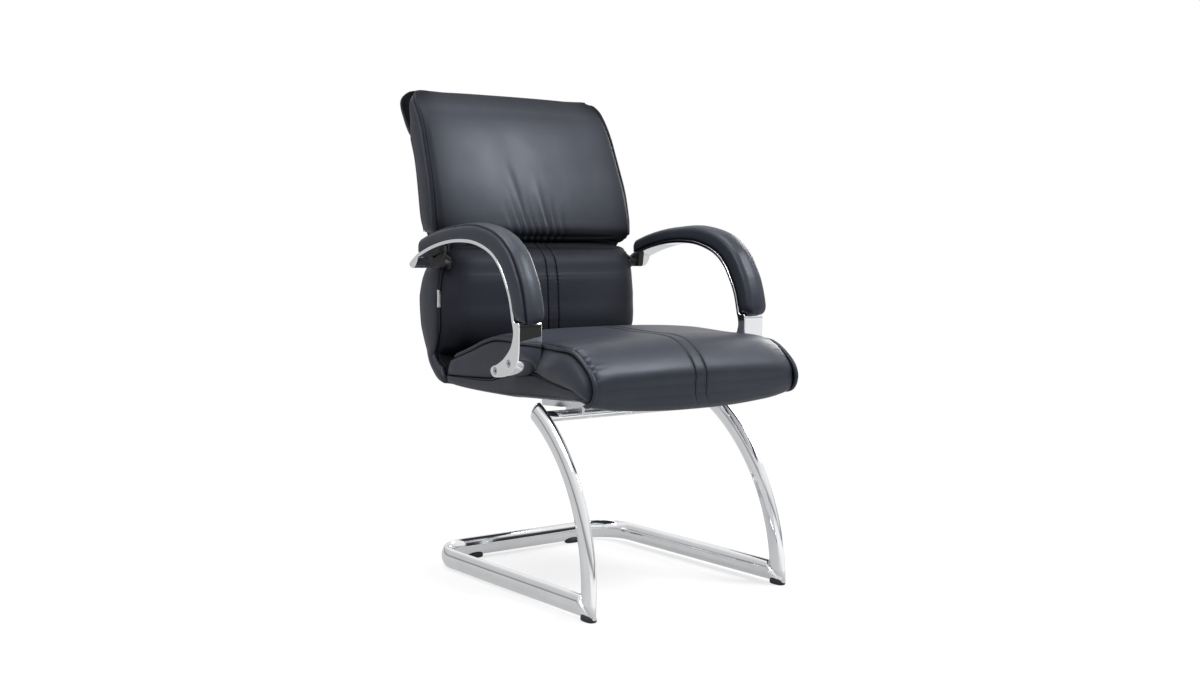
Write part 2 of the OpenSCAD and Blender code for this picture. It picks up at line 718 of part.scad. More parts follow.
module pad_core() color(rubber) difference() {
    slab(concat(part_of(arm_curve, 2, len(arm_curve) - 3), reversed(part_of(pad_line, 1, pad_rings - 1))),
         arm_inner + 2, arm_outer - 2);
    pad_screw_places() cylinder(h = far, r = pad_screw + fit, center = true);
}

module pad_core_left() pad_core();

module pad_core_right() mirror([1, 0, 0]) pad_core();

// The arm pad: a section with two round edges, carried along the arm's line
// and drawn in to a round end at the rear and at the front
pad_sides = 14;
function pad_depth(s) = pad_top + (pad_front - pad_top) * max(0, min(1, (s - 0.35) / 0.4));
function end_round(s) = sqrt(max(0.02, min(1, 1 - pow(max(0, 0.06 - s) / 0.06, 2))))
    * sqrt(max(0.05, min(1, 1 - pow(max(0, s - 0.94) / 0.06, 2))));
function pad_section(w, h) = let (r = min(pad_edge, h - 1)) concat(
    [[-w, 0], [-w, (h - r) / 2]],
    [for (k = [0 : 4]) [-w + r - r * cos(22.5 * k), h - r + r * sin(22.5 * k)]],
    [for (k = [4 : -1 : 0]) [w - r + r * cos(22.5 * k), h - r + r * sin(22.5 * k)]],
    [[w, (h - r) / 2], [w, 0]]);

module arm_pad() color(leather) {
    points = [for (j = [0 : pad_rings])
        let (s = j / pad_rings, out = -turned(pad_way(j)), base = pad_line[j] + gap * out,
             half = arm_width / 2 * (s > 0.94 ? 0.55 + 0.45 * end_round(s) : 1))
        each [for (q = pad_section(half, (pad_depth(s) - core_thick) * end_round(s)))
            [arm_inner + arm_width / 2 + q[0], base[0] + q[1] * out[0], base[1] + q[1] * out[1]]]];
    side_faces = [for (j = [0 : pad_rings - 1], k = [0 : pad_sides - 1])
        let (a = j * pad_sides + k, b = j * pad_sides + (k + 1) % pad_sides)
            each [[a, b, b + pad_sides], [a, b + pad_sides, a + pad_sides]]];
    last = pad_rings * pad_sides;
    // the fans start at a point of the round edge, so that no triangle is flat
    ends = [for (k = [5 : pad_sides + 2]) let (a = k % pad_sides, b = (k + 1) % pad_sides)
        each [[4, b, a], [last + 4, last + a, last + b]]];
    polyhedron(points = points, faces = concat(side_faces, ends));
}

module arm_pad_left() arm_pad();

module arm_pad_right() mirror([1, 0, 0]) arm_pad();

// Steel brackets on the shell that take the arms' bolts
web_thick = 5;
flange_thick = 4;
flange_reach = 44;
web_x = cushion_half - web_thick;
back_web_x = web_x - 6;
bolt_sets = [[seat_bolts, web_x], [back_bolts, back_web_x]];
screw_x = cushion_half - flange_reach + 10;
wood_screw = 2;
seat_screw_y = [-185, -115];
nut_thick = 6.5;

module seat_bracket_shape(grow) difference() {
    on_underside() {
        translate([web_x - grow, plate_ahead - 200 - grow, stack])
            cube([web_thick + 2 * grow, 112 + 2 * grow, 68 + grow]);
        translate([cushion_half - flange_reach - grow, plate_ahead - 200 - grow, stack])
            cube([flange_reach, 112 + 2 * grow, flange_thick + grow]);
    }
    translate([0, -far, seat_under + 88 + grow]) cube([far, 2 * far, far]);
}

module seat_bracket() color(steel) difference() {
    seat_bracket_shape(0);
    for (p = seat_bolts) bolt_line(p) cylinder(h = far, r = arm_bolt_radius + fit);
    for (y = seat_screw_y) on_underside() translate([screw_x, y + plate_ahead, 0])
        cylinder(h = far, r = wood_screw + fit);
}

module seat_bracket_space() {
    seat_bracket_shape(gap);
    for (p = seat_bolts) bolt_line(p) translate([0, 0, web_x - nut_thick - 2]) cylinder(h = far, r = 9);
    for (y = seat_screw_y) on_underside() translate([screw_x, y + plate_ahead, stack])
        cylinder(h = flange_thick + 3, r = 5);
}

module seat_bracket_left() seat_bracket();

module seat_bracket_right() mirror([1, 0, 0]) seat_bracket();

back_face = shifted(spine, stack);
first_flange = 10 * steps + 1;
last_flange = 11 * steps + 2;
function bracket_line(d) = part_of(shifted(spine, stack + d), first_flange, last_flange);

module back_bracket_shape(grow) {
    face = part_of(back_face, first_flange, last_flange);
    slab(concat(face, reversed(bracket_line(flange_thick + grow))),
         cushion_half - flange_reach - grow, back_web_x + web_thick + grow);
    slab(concat(face, arm_at([[157 - grow, 640 + grow], [157 - grow, 618 - grow]])),
         back_web_x - grow, back_web_x + web_thick + grow);
}

module back_bracket() color(steel) difference() {
    back_bracket_shape(0);
    for (p = back_bolts) bolt_line(p) cylinder(h = far, r = arm_bolt_radius + fit);
    for (i = [0, 1]) back_screw_frame(i) cylinder(h = 40, r = wood_screw + fit, center = true);
}

module back_bracket_space() {
    back_bracket_shape(gap);
    for (p = back_bolts) bolt_line(p) translate([0, 0, back_web_x - nut_thick - 2])
        cylinder(h = far, r = 9);
    for (i = [0, 1]) back_screw_frame(i) translate([0, 0, flange_thick - 1]) cylinder(h = 4, r = 5);
}

module back_bracket_left() back_bracket();

module back_bracket_right() mirror([1, 0, 0]) back_bracket();

// Children on the shell's inner face at a back bracket's screw, +z inwards
module back_screw_frame(i) {
    k = first_flange + 1 + 3 * i;
    face = back_face[k];
    out = turned(unit(spine[k + 1] - spine[k - 1]));
    translate([screw_x, face[0], face[1]]) rotate([atan2(-out[0], out[1]), 0, 0]) children();
}

module bracket_screws() color(steel) bracket_screw_places() {
    translate([0, 0, -8.9]) cylinder(h = 8.9 + flange_thick, r = wood_screw);
    translate([0, 0, flange_thick]) cylinder(h = 1.6, r = 4);
}

module bracket_nuts() color(steel) both_sides() for (b = bolt_sets, p = b[0])
    bolt_line(p) translate([0, 0, b[1] - nut_thick]) difference() {
        cylinder(h = nut_thick, r = 7.5, $fn = 6);
        translate([0, 0, -1]) cylinder(h = nut_thick + 2, r = arm_bolt_radius + 0.05);
    }

module arm_spacers() color(rubber) both_sides() for (b = bolt_sets, p = b[0])
    bolt_line(p) translate([0, 0, b[1] + web_thick]) difference() {
        cylinder(h = arm_inner - b[1] - web_thick, r = spacer_radius);
        translate([0, 0, -1]) cylinder(h = far, r = arm_bolt_radius + fit);
    }

module arm_bolts() color(steel) both_sides() {
    for (p = seat_bolts) bolt_line(p) translate([0, 0, arm_outer - counterbore]) mirror([0, 0, 1])
        socket_screw(arm_bolt_radius, arm_outer - counterbore - web_x + nut_thick);
    for (p = back_bolts) bolt_line(p) translate([0, 0, arm_inner + tab_thick]) mirror([0, 0, 1])
        socket_screw(arm_bolt_radius, arm_inner + tab_thick - back_web_x + nut_thick);
}

floor_rail();
leg_left();
leg_right();
leg_caps();
front_glides();
rear_glides();
glide_screws();
cross_tube();
gussets();
seat_plate();
plate_bolts();
plate_washers();
tee_nuts();
seat_shell();
under_cover();
rear_cover();
seat_cushion();
lumbar_cushion();
upper_back_cushion();
top_roll();
seat_panel_left();
seat_panel_right();
seat_skirt_left();
seat_skirt_right();
lumbar_panel_left();
lumbar_panel_right();
back_band_left();
back_band_right();
seat_piping_left();
seat_piping_right();
back_piping_left();
back_piping_right();
side_tag();
seat_bracket_left();
seat_bracket_right();
back_bracket_left();
back_bracket_right();
bracket_screws();
bracket_nuts();
arm_bar_left();
arm_bar_right();
pad_core_left();
pad_core_right();
arm_pad_left();
arm_pad_right();
arm_spacers();
arm_bolts();
pad_screws();
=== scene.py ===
import json
import math

import bmesh
import bpy
import numpy as np
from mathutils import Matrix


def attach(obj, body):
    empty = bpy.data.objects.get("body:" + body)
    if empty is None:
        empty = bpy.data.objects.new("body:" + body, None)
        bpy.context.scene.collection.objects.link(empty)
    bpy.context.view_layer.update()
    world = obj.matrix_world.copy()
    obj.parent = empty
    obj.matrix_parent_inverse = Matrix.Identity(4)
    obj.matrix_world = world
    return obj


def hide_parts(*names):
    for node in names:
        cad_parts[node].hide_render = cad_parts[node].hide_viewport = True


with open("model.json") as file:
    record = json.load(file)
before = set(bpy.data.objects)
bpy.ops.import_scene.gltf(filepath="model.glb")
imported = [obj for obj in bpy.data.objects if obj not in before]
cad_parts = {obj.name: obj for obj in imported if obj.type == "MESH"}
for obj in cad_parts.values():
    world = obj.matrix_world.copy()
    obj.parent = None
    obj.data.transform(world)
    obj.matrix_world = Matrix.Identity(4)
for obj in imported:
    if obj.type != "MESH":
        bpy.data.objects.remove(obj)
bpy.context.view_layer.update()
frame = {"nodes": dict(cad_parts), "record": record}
scene = bpy.context.scene
mm = 0.001  # the shapes below are worked out in millimetres


# A new object in the scene
def addObject(name, data):
    obj = bpy.data.objects.new(name, data)
    scene.collection.objects.link(obj)
    return obj


camera = {
    "place": (-1.6427, -2.2592, 0.6613),
    "tilt": 86.25,  # degrees from straight down
    "turn": -36.51,
    "lens": 41.33,
    "sensor": 36.0,
    "farthest": 60.0,
}


# The camera that the photo was taken from
def makeCamera(c):
    data = bpy.data.cameras.new("camera")
    data.lens, data.sensor_width, data.clip_end = c["lens"], c["sensor"], c["farthest"]
    obj = addObject("camera", data)
    obj.location = c["place"]
    obj.rotation_euler = (math.radians(c["tilt"]), 0.0, math.radians(c["turn"]))
    scene.camera = obj


makeCamera(camera)
print("camera placed")


# A node's socket takes a value, or a link where the value is another socket
def feed(tree, socket, value):
    if isinstance(value, bpy.types.NodeSocket):
        tree.links.new(value, socket)
    else:
        socket.default_value = value


# A node with its inputs by name, and its other settings
def addNode(tree, kind, **settings):
    node = tree.nodes.new(kind)
    for key, value in settings.items():
        if key in node.inputs:
            feed(tree, node.inputs[key], value)
        else:
            setattr(node, key, value)
    return node


# A node that names its inputs only by their order
def addInOrder(tree, kind, *values, **settings):
    node = addNode(tree, kind, **settings)
    for socket, value in zip(node.inputs, values):
        feed(tree, socket, value)
    return node.outputs[0]


def addMath(tree, operation, *values):
    return addInOrder(tree, "ShaderNodeMath", *values, operation=operation)


# Two shaders mixed by a share from 0 to 1
def mixShaders(tree, share, first, second):
    return addInOrder(tree, "ShaderNodeMixShader", share, first, second)


# Two colours mixed by a share, or multiplied
def mixColours(tree, share, first, second, kind="MIX"):
    node = addNode(tree, "ShaderNodeMix", data_type="RGBA", blend_type=kind)
    for index, value in ((0, share), (6, first), (7, second)):
        feed(tree, node.inputs[index], value)
    return node.outputs[2]


# A value carried from its own range over to another
def addRange(tree, value, end, start=(0.0, 1.0), kind="LINEAR"):
    node = addNode(tree, "ShaderNodeMapRange", Value=value, interpolation_type=kind)
    for name, limit in zip(("From Min", "From Max", "To Min", "To Max"), (*start, *end)):
        node.inputs[name].default_value = limit
    return node.outputs["Result"]


# A ramp of grey or coloured stops between positions from 0 to 1
def addRamp(tree, value, stops):
    node = addNode(tree, "ShaderNodeValToRGB", Fac=value)
    elements = node.color_ramp.elements
    while len(elements) < len(stops):
        elements.new(0.5)
    for element, (place, colour) in zip(elements, stops):
        element.position = place
        element.color = (*((colour,) * 3 if isinstance(colour, float) else colour), 1.0)
    return node.outputs["Color"]


def addNoise(tree, place, scale, detail, roughness=0.5):
    node = addNode(tree, "ShaderNodeTexNoise", Vector=place, Scale=scale, Detail=detail, Roughness=roughness)
    return node.outputs["Fac"]


# Bumps laid over one another, each with its height, strength and depth
def addBumps(tree, *bumps):
    over = {}
    for height, strength, depth in bumps:
        node = addNode(tree, "ShaderNodeBump", Height=height, Strength=strength, Distance=depth, **over)
        over = {"Normal": node.outputs["Normal"]}
    return node.outputs["Normal"]


# An empty material, its node tree, and the place on the piece
def newMaterial(name):
    mat = bpy.data.materials.new(name)
    mat.use_nodes = True
    mat.node_tree.nodes.clear()
    return mat, mat.node_tree, mat.node_tree.nodes.new("ShaderNodeTexCoord").outputs["Object"]


# The material's Principled shader with its inputs by name
def finished(mat, **inputs):
    shader = addNode(mat.node_tree, "ShaderNodeBsdfPrincipled", **inputs)
    addNode(mat.node_tree, "ShaderNodeOutputMaterial", Surface=shader.outputs[0])
    return mat


leatherLook = {
    "dark": (0.0165, 0.0185, 0.0265),
    "light": (0.0245, 0.0275, 0.0385),
    # the colour at full darkness, in the seams and in the painted shade
    "seam": (0.003, 0.003, 0.0045),
    "roughness": (0.36, 0.47),
    "sewnDuller": 0.25,
    "sheen": (0.80, 0.87, 1.0),
    "gloss": (0.44, 0.06),  # where it is plain, and where it is sewn or has painted shade
    "poreScale": 620.0,  # cells in a metre
    "grainDepth": 0.00022,
    "dentDepth": 0.0011,
}


# Leather: cell edges of a fine pattern make the pores, two slow noises make
# the soft dents and the patches of colour, and the piece's own darkness
# attribute darkens it, lowers its gloss and roughens it where it is sewn,
# and where shade is painted in
def leatherMaterial(name, look, tint=1.0):
    mat, tree, place = newMaterial(name)
    pores = addNode(tree, "ShaderNodeTexVoronoi", feature="DISTANCE_TO_EDGE", Vector=place,
                    Scale=look["poreScale"])
    fine = addNoise(tree, place, 900.0, 3.0)
    dents = addNoise(tree, place, 16.0, 4.0, 0.55)
    patches = addNoise(tree, place, 5.5, 5.0, 0.6)
    dark, light = ([tint * c for c in look[tone]] for tone in ("dark", "light"))
    seam = addNode(tree, "ShaderNodeAttribute", attribute_name="seam").outputs["Fac"]
    rough = addMath(tree, "MULTIPLY_ADD", seam, look["sewnDuller"], addRange(tree, dents, look["roughness"]))
    unsewn = addRamp(tree, patches, [(0.30, dark), (0.72, light)])
    bumps = addBumps(tree, (pores.outputs["Distance"], 0.5, look["grainDepth"]),
                     (fine, 0.3, look["grainDepth"]), (dents, 0.6, look["dentDepth"]))
    return finished(mat, Roughness=rough, Normal=bumps, **{
        "Base Color": mixColours(tree, seam, unsewn, (*look["seam"], 1.0)),
        "Specular IOR Level": addRange(tree, seam, look["gloss"]),
        "Specular Tint": (*look["sheen"], 1.0)})


# Metal: a smooth or finely scratched surface with a faint change of gloss
def metalMaterial(name, colour, roughness, spread, scratch=0.0):
    mat, tree, place = newMaterial(name)
    smudge = addNoise(tree, place, 22.0, 4.0)
    inputs = {"Base Color": addRamp(tree, smudge, [(0.3, [c * 0.94 for c in colour]), (0.7, colour)]),
              "Roughness": addRange(tree, smudge, (roughness, roughness + spread), (0.35, 0.75))}
    if scratch:
        inputs["Normal"] = addBumps(tree, (addNoise(tree, place, 1400.0, 2.0), scratch, 0.0001))
    return finished(mat, Metallic=1.0, **inputs)


# A matte material: two tones mixed by noise, with a fine bump
def plainMaterial(name, dark, light, roughness, scale, depth, stretch=(1.0, 1.0, 1.0)):
    mat, tree, place = newMaterial(name)
    mapping = addNode(tree, "ShaderNodeMapping", Vector=place, Scale=stretch)
    noise = addNoise(tree, mapping.outputs["Vector"], scale, 4.0)
    return finished(mat, Roughness=roughness, Normal=addBumps(tree, (noise, 0.4, depth)),
                    **{"Base Color": addRamp(tree, noise, [(0.3, dark), (0.7, light)])})


finishes = {
    "leather": leatherMaterial("charcoal leather", leatherLook),
    "piping": leatherMaterial("dark piping leather", leatherLook, 0.6),
    "chrome": metalMaterial("polished chrome", (0.86, 0.87, 0.89), 0.035, 0.05),
    "satin": metalMaterial("satin chrome", (0.78, 0.79, 0.81), 0.24, 0.08),
    "steel": metalMaterial("zinc-plated steel", (0.50, 0.51, 0.53), 0.26, 0.14, 0.35),
    "rubber": plainMaterial("black rubber", (0.01, 0.01, 0.011), (0.022, 0.022, 0.024), 0.62, 500.0, 0.0001),
    "black": plainMaterial("black painted steel", (0.009, 0.009, 0.011), (0.016, 0.016, 0.019), 0.42, 400.0,
                           0.00005),
    "plywood": plainMaterial("bent plywood", (0.52, 0.36, 0.2), (0.72, 0.54, 0.33), 0.6, 60.0, 0.0003,
                             (1, 1, 14)),
    "tag": plainMaterial("white woven tag", (0.80, 0.80, 0.80), (0.93, 0.93, 0.92), 0.85, 1600.0, 0.0002),
    "thread": plainMaterial("black thread", (0.012, 0.012, 0.015), (0.03, 0.03, 0.036), 0.7, 2500.0, 0.0001),
}
print("materials made")


# A soft bump of height 1 at a place: e to the power of minus its square
def bell(x, place=0.0, width=1.0):
    return np.exp(-(((x - place) / width) ** 2))


# A smooth step from 0 at a to 1 at b, which is 3 t^2 - 2 t^3
def eased(x, a, b):
    t = np.clip((x - a) / (b - a), 0, 1)
    return t * t * (3 - 2 * t)


# Points from their coordinates, each stretched to the others' shape
def joined(*parts):
    return np.stack(np.broadcast_arrays(*parts), -1)


# Points of the side view (y, z) placed at x across the chair
def placed(x, side):
    return joined(x, side[..., 0], side[..., 1])


# A smooth line through the points: between neighbours b and c each place is
# the cubic (Catmull-Rom) mix of a, b, c and d, with so many steps to a stretch
def smoothLine(points, steps):
    p = np.asarray(points, float)
    a = np.vstack([p[:1], p[:-2]])[:, None, :]
    b = p[:-1, None, :]
    c = p[1:, None, :]
    d = np.vstack([p[2:], p[-1:]])[:, None, :]
    t = (np.arange(steps) / steps)[None, :, None]
    inside = 0.5 * (2 * b + (c - a) * t + (2 * a - 5 * b + 4 * c - d) * t**2 + (3 * b - a - 3 * c + d) * t**3)
    return np.vstack([inside.reshape(-1, p.shape[1]), p[-1:]])


# The unit direction at each place, from its two neighbours
def directions(line, closed=False):
    if closed:
        d = np.roll(line, -1, 0) - np.roll(line, 1, 0)
    else:
        d = np.vstack([line[1:], line[-1:]]) - np.vstack([line[:1], line[:-1]])
    return d / np.maximum(np.linalg.norm(d, axis=1, keepdims=True), 1e-9)


# That direction turned a quarter turn to the left, in the side view
def leftOf(line, closed=False):
    way = directions(line[:, :2], closed)
    return np.stack([-way[:, 1], way[:, 0]], 1)


# The side line moved by d to the left of its direction
def shifted(line, d):
    return line[:, :2] + d * leftOf(line)


# How far along a line each of its points lies
def runLength(line):
    return np.concatenate([[0], np.cumsum(np.linalg.norm(np.diff(line, axis=0), axis=1))])


# Each column of values read at other distances along the line
def readAt(at, far, values):
    return np.stack([np.interp(at, far, column) for column in values.T], 1)


# The line at so many places, evenly spaced along its length
def resampled(line, count):
    far = runLength(line[:, :2])
    return readAt(np.linspace(0, far[-1], count), far, line)


# The faces of a grid whose columns join up: quads between its rows, and then
# one face at each end
def closedFaces(rows, columns):
    start = np.arange(rows - 1)[:, None] * columns
    c, c2 = np.arange(columns), (np.arange(columns) + 1) % columns
    quads = np.stack([start + c, start + c2, start + columns + c2, start + columns + c], -1)
    return quads.reshape(-1, 4), np.array([c, (rows - 1) * columns + c])


noFaces, allFaces, ends = slice(0), slice(None), slice(-2, None)


# A mesh from points in millimetres: one closed grid, or a row of them. Its
# normals are turned outwards, the faces in flat keep a hard look, and the
# darkness given for each point holds its seams and its painted shade
def makePiece(name, points, slot, nodes=(), seam=0.0, flat=noFaces, look=None):
    rows, columns = points.shape[-3:-1]
    starts = np.arange(0, points.size // 3, rows * columns)[:, None, None]
    faces = []
    for kind in closedFaces(rows, columns):
        faces += (kind + starts).reshape(-1, kind.shape[1]).tolist()
    mesh = bpy.data.meshes.new(name)
    mesh.from_pydata((points.reshape(-1, 3) * mm).tolist(), [], faces)
    smooth = np.ones(len(faces), bool)
    smooth[flat] = False
    mesh.polygons.foreach_set("use_smooth", smooth)
    darkness = np.clip(np.broadcast_to(seam, points.shape[:-1]), 0, 1).astype(np.float32)
    mesh.attributes.new("seam", "FLOAT", "POINT").data.foreach_set("value", darkness.ravel())
    work = bmesh.new()
    work.from_mesh(mesh)
    bmesh.ops.recalc_face_normals(work, faces=work.faces)
    work.to_mesh(mesh)
    work.free()
    mesh.materials.append(finishes[look or slot])
    obj = addObject(name, mesh)
    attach(obj, "root")
    if nodes:
        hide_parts(*nodes)
    return obj


sides = {"left": 1.0, "right": -1.0}  # the sitter's left is +X


# The points on one side of the chair
def onSide(points, sign):
    return points * np.array([sign, 1.0, 1.0])


# A piece and its mirror image. The braces in a name stand for the side, and a
# CAD node without them holds both sides, so the left piece replaces it
def makePair(name, points, slot, nodes=(), **settings):
    return [makePiece(name.format(side), onSide(points, sign), slot,
                      [node.format(side) for node in nodes if "{}" in node or side == "left"], **settings)
            for side, sign in sides.items()]


# The side view is (y, z). The shell's outer line is the spine of the chair,
# and the other values are distances inwards from it
shell = {
    "line": [(-318, 387), (-190, 381.7), (-100, 378.1), (-60, 376.5), (88, 378.5), (165, 385.5), (206, 407),
             (234, 438), (249, 489), (255, 546.5), (250, 589.5), (234, 630.5), (234, 692.7), (245, 737.4),
             (256.9, 789.4), (273, 842.6), (293.8, 886.7), (322, 949.5)],
    "steps": 12,
    "cover": 11.9,
    "roll": 11.7,
    "cushion": 24.3,
    "trim": (12.1, 24.2),
    "creases": (24.1, 30.0, 29.0),
}
spine = smoothLine(shell["line"], shell["steps"])
perPoint = shell["steps"] // 4  # the source has four steps to a stretch


# Part of the spine moved inwards by d, between two of the source's steps
def spinePart(first, last, d=0.0):
    return shifted(spine, d)[first * perPoint : last * perPoint + 1]


# The cushions' upper and front lines as (y, z, weight), and the panels' seam
seatLine = smoothLine([(165, 426.5, .15), (112, 443.5, .8), (57.5, 460, 1), (0, 478.5, 1), (-52.5, 486, 1),
                       (-171.5, 480.5, 1), (-251.5, 475.5, 1.18), (-296.5, 463.5, 1.25), (-334.5, 435.5, .9),
                       (-345.5, 411.5, .3), (-344.5, 397.0, .3)], 20)
lumbarLine = smoothLine([(179, 655.5, .25), (175, 644.5, .5), (174, 631.5, .74), (177, 610.5, .9),
                         (179, 589.5, .98), (181, 546.5, 1.04), (180, 510.5, 1.05), (186, 480.5, 1),
                         (197, 458.5, .45), (206, 444.5, .1)], 16)
upperLine = smoothLine([(303.5, 984, .35), (281, 957.5, .5), (264, 933.5, .8), (248, 903.5, .9),
                        (234.5, 868.5, 1), (219.5, 828.5, 1), (206.5, 792.5, 1.1), (198, 758.5, 1.3),
                        (191.5, 719.5, 1.6), (189, 695.5, 1.8), (189, 684.5, 1.2)], 18)
rollLine = smoothLine([(299, 886, 1), (322, 909, 1), (340, 934, 1), (352, 955, 1), (353.5, 973.5, 1),
                       (341, 985.5, 1), (322, 989.5, 1), (308, 989.5, 1)], 8)
lowerSeam = smoothLine([(155, 403.5), (0, 406.5), (-60, 417.5), (-155, 430.5), (-225, 416.5),
                        (-314, 407.5)], 10)

# The back's width by height, as a share of its plain width: it is drawn in at
# the waist and at the corners of the two cushions, and its upper corners are
# quarter ellipses
level = [(0, 1)]
backSides = [(400, 1), (450, 0.982), (500, 1.008), (560, 1.012), (610, 0.992), (640, 0.965), (662, 0.95),
             (673, 0.985), (680, 1.018), (692, 1.036), (720, 1.042), (780, 1.034), (860, 1.018), (940, 1.002)]
quarter = np.sin(np.linspace(0, np.pi / 2, 14))
rollWidths, backWidths = (
    backSides + [(low + tall * t, 1 - depth * (1 - math.sqrt(1 - t * t))) for t in quarter]
    for low, tall, depth in ((962, 29, 0.105), (956, 34, 0.119)))


# Each point's x multiplied by the width's share at its height
def widened(points, widths):
    p = np.array(points, float)
    heights, shares = zip(*widths)
    p[..., 0] *= np.interp(p[..., 2], heights, shares)
    return p


# Side points with no weight, which the crown and the round edges leave alone
def still(points):
    p = np.atleast_2d(np.asarray(points, float))
    return np.hstack([p[:, :2], np.zeros((len(p), 1))])


# Places across a cushion: close together at the round side edges and at the
# two seams of its centre strip
def acrossPlaces(half, reach, strip, count):
    edge = half - reach + reach * np.sin(np.linspace(0, np.pi / 2, 11))
    body = np.linspace(0, half - reach, count)[:-1]
    near = np.array([])
    if strip:
        body = body[np.abs(body - strip) > 7]
        near = strip + np.array([-6, -4, -2.6, -1.7, -1.0, -0.5, 0, 0.5, 1.0, 1.7, 2.6, 4, 6])
    one = np.round(np.concatenate([body, near, edge]), 3)
    return np.unique(np.concatenate([-one, one]))


# A cushion: a closed side outline of (y, z, weight) carried across the chair.
# Each point moves along its normal by its weight times the crown, which is
# crown * (1 - |u|^2.5), and the round edge, a quarter ellipse at each side,
# less a narrow groove at the seams of the strip. A weight above 3 or below -3
# takes only the crown. Every stitch draws the leather in a little, folds are
# added by a function of x and the outline, and a cushion's painted shade and
# light, darker in its hollows, by one of x, y and z
def cushionGrid(outline, c):
    x = acrossPlaces(c["half"], c["reach"], c.get("strip", 0), c.get("places", 44))
    away = np.abs(x)
    normal = -leftOf(outline, closed=True)
    for _ in range(3):
        normal = normal * 0.5 + 0.25 * (np.roll(normal, 1, 0) + np.roll(normal, -1, 0))
    normal /= np.linalg.norm(normal, axis=1, keepdims=True)
    crown = c["crown"] * (1 - (away / c["half"]) ** 2.5)
    rise = c["rise"] * np.sqrt(1 - np.clip((away - c["half"] + c["reach"]) / c["reach"], 0, 1) ** 2)
    far = runLength(outline[:, :2])
    w = outline[None, :, 2]
    held = np.clip(w, 0, 1)
    plain = np.abs(w) <= 3
    seam = np.zeros((len(x), len(outline)))
    if "strip" in c:
        rise = rise - c["groove"] * bell(away, c["strip"], 1.5)
        seam = np.where(plain & (w > 0.05), bell(away, c["strip"], 1.1)[:, None], 0.0)
    move = np.where(plain, w * (crown + rise)[:, None], (w - 3 * np.sign(w)) * crown[:, None])
    if "ticks" in c:
        beside = bell(away, c["strip"], 5.0)[:, None]
        move = move - c["ticks"] * beside * (0.5 + 0.5 * np.cos(far * 0.66)) * held
    if "folds" in c:
        move = move + c["folds"](x[:, None], outline, far, held)
    y, z = (outline[None, :, k] + move * normal[None, :, k] for k in (0, 1))
    if "shade" in c:
        seam = seam + c["shade"](x[:, None], y, z)
    return widened(joined(x[:, None], y, z), c.get("widths", level)), seam


# The finished cushion. Where it has an end centre, its ends close towards it
# in rings. The grid comes back without those rings
def makeCushion(name, outline, c, nodes):
    body, seam = cushionGrid(outline, c)
    grid = body
    if "endCentre" in c:
        near, far = (np.stack([middle + (body[row] - middle) * f for f in (0.72, 0.4, 0.05)])
                     for row, middle in ((0, onSide(c["endCentre"], -1.0)), (-1, np.array(c["endCentre"]))))
        grid = np.concatenate([near[::-1], body, far])
        seam = np.pad(seam, ((3, 3), (0, 0)), constant_values=1.0)
    makePiece(name, grid, "leather", nodes, seam=seam, flat=ends)
    return body


# Puckers along the side seams: a dent beside a ridge, strongest at the seam
# and fading inwards, at the given places along the front, and weaker on the
# sitter's left, where the leather is drawn smoother. A broad shallow hollow
# lies where a sitter's weight has pressed the top
def seatFolds(x, outline, far, w):
    away = np.abs(x)
    inward = seatCushion["half"] - away
    y, z = outline[None, :, 0], outline[None, :, 1]
    here = np.exp(-inward / 9.0) * (1 - np.exp(-(inward + 1.0) / 2.0)) * np.where(x < 0, 1.0, 0.3)
    extra = np.zeros(np.broadcast(x, y).shape)
    for at, size, depth, slope in seatCushion["puckers"]:
        place = far[np.argmin(np.linalg.norm(outline[:, :2] - np.array(at), axis=1))]
        d = (far[None] - place - slope * inward) / size
        extra = extra - depth * here * (bell(d) - 0.7 * bell(d, 1.7))
    hollow = bell(y - 0.15 * away, 20, 75) * np.exp(-((away / 170) ** 4))
    swell = bell(away, 195, 42) * bell(y, -285, 60)
    return (extra - 2.2 * hollow * (z > 430) + 3.0 * swell) * w


# Darker on the top's rear part, where the back keeps the light away, and along
# the side seams
def seatShade(x, y, z):
    return 0.55 * eased(y, 10, 100) + 0.9 * bell(np.abs(x), 237.0, 2.6)


seatCushion = {
    "half": 238.7, "crown": 10.0, "reach": 15.0, "rise": 8.6, "strip": 12.9, "groove": 2.4,
    # place (y, z), width, depth, slope
    "puckers": [((-150, 481), 6.0, 1.2, 0.3), ((-222, 477.5), 5.0, 1.6, 0.25), ((-276, 470), 4.0, 2.4, 0.2),
                ((-294, 464), 3.4, 3.4, 0.1), ((-307, 456.5), 3.2, 3.8, 0.05), ((-318, 448.5), 3.2, 3.6, 0.0),
                ((-329, 440), 3.4, 2.8, -0.1), ((-339, 427), 3.6, 1.6, -0.15)],
    "folds": seatFolds, "ticks": 0.5, "shade": seatShade,
}
seatOutline = np.vstack([
    still(spinePart(0, 20, shell["cushion"])), still((163, 416.5)), seatLine,
    [(-341.5, 389.5, 5), (-335.5, 384.5, 5), (-327.5, 382.5, 5)], still([(-319.5, 390.5), (-319.5, 412.5)])])
seatGrid = makeCushion("seat_cushion_dressed", seatOutline, seatCushion, ["seat_cushion"])


# Painted shade: darker as a whole, and more so at the top, under the upper
# cushion, at the bottom and at the sides
def lumbarShade(x, y, z):
    return 0.30 + 0.40 * bell(z, 662, 42) + 0.30 * bell(z, 460, 45) + 0.25 * bell(np.abs(x), 239, 40)


lumbarCushion = {"half": 238.7, "crown": 9.0, "reach": 44.0, "rise": 46.0, "strip": 12.9, "groove": 2.2,
                 "ticks": 0.8, "widths": backWidths, "shade": lumbarShade}
lumbarOutline = np.vstack([
    still(spinePart(25, 46, shell["cushion"])), [(205, 661.5, 5.1), (189, 661.5, 5.1)], lumbarLine])
lumbarGrid = makeCushion("lumbar_cushion_dressed", lumbarOutline, lumbarCushion, ["lumbar_cushion"])


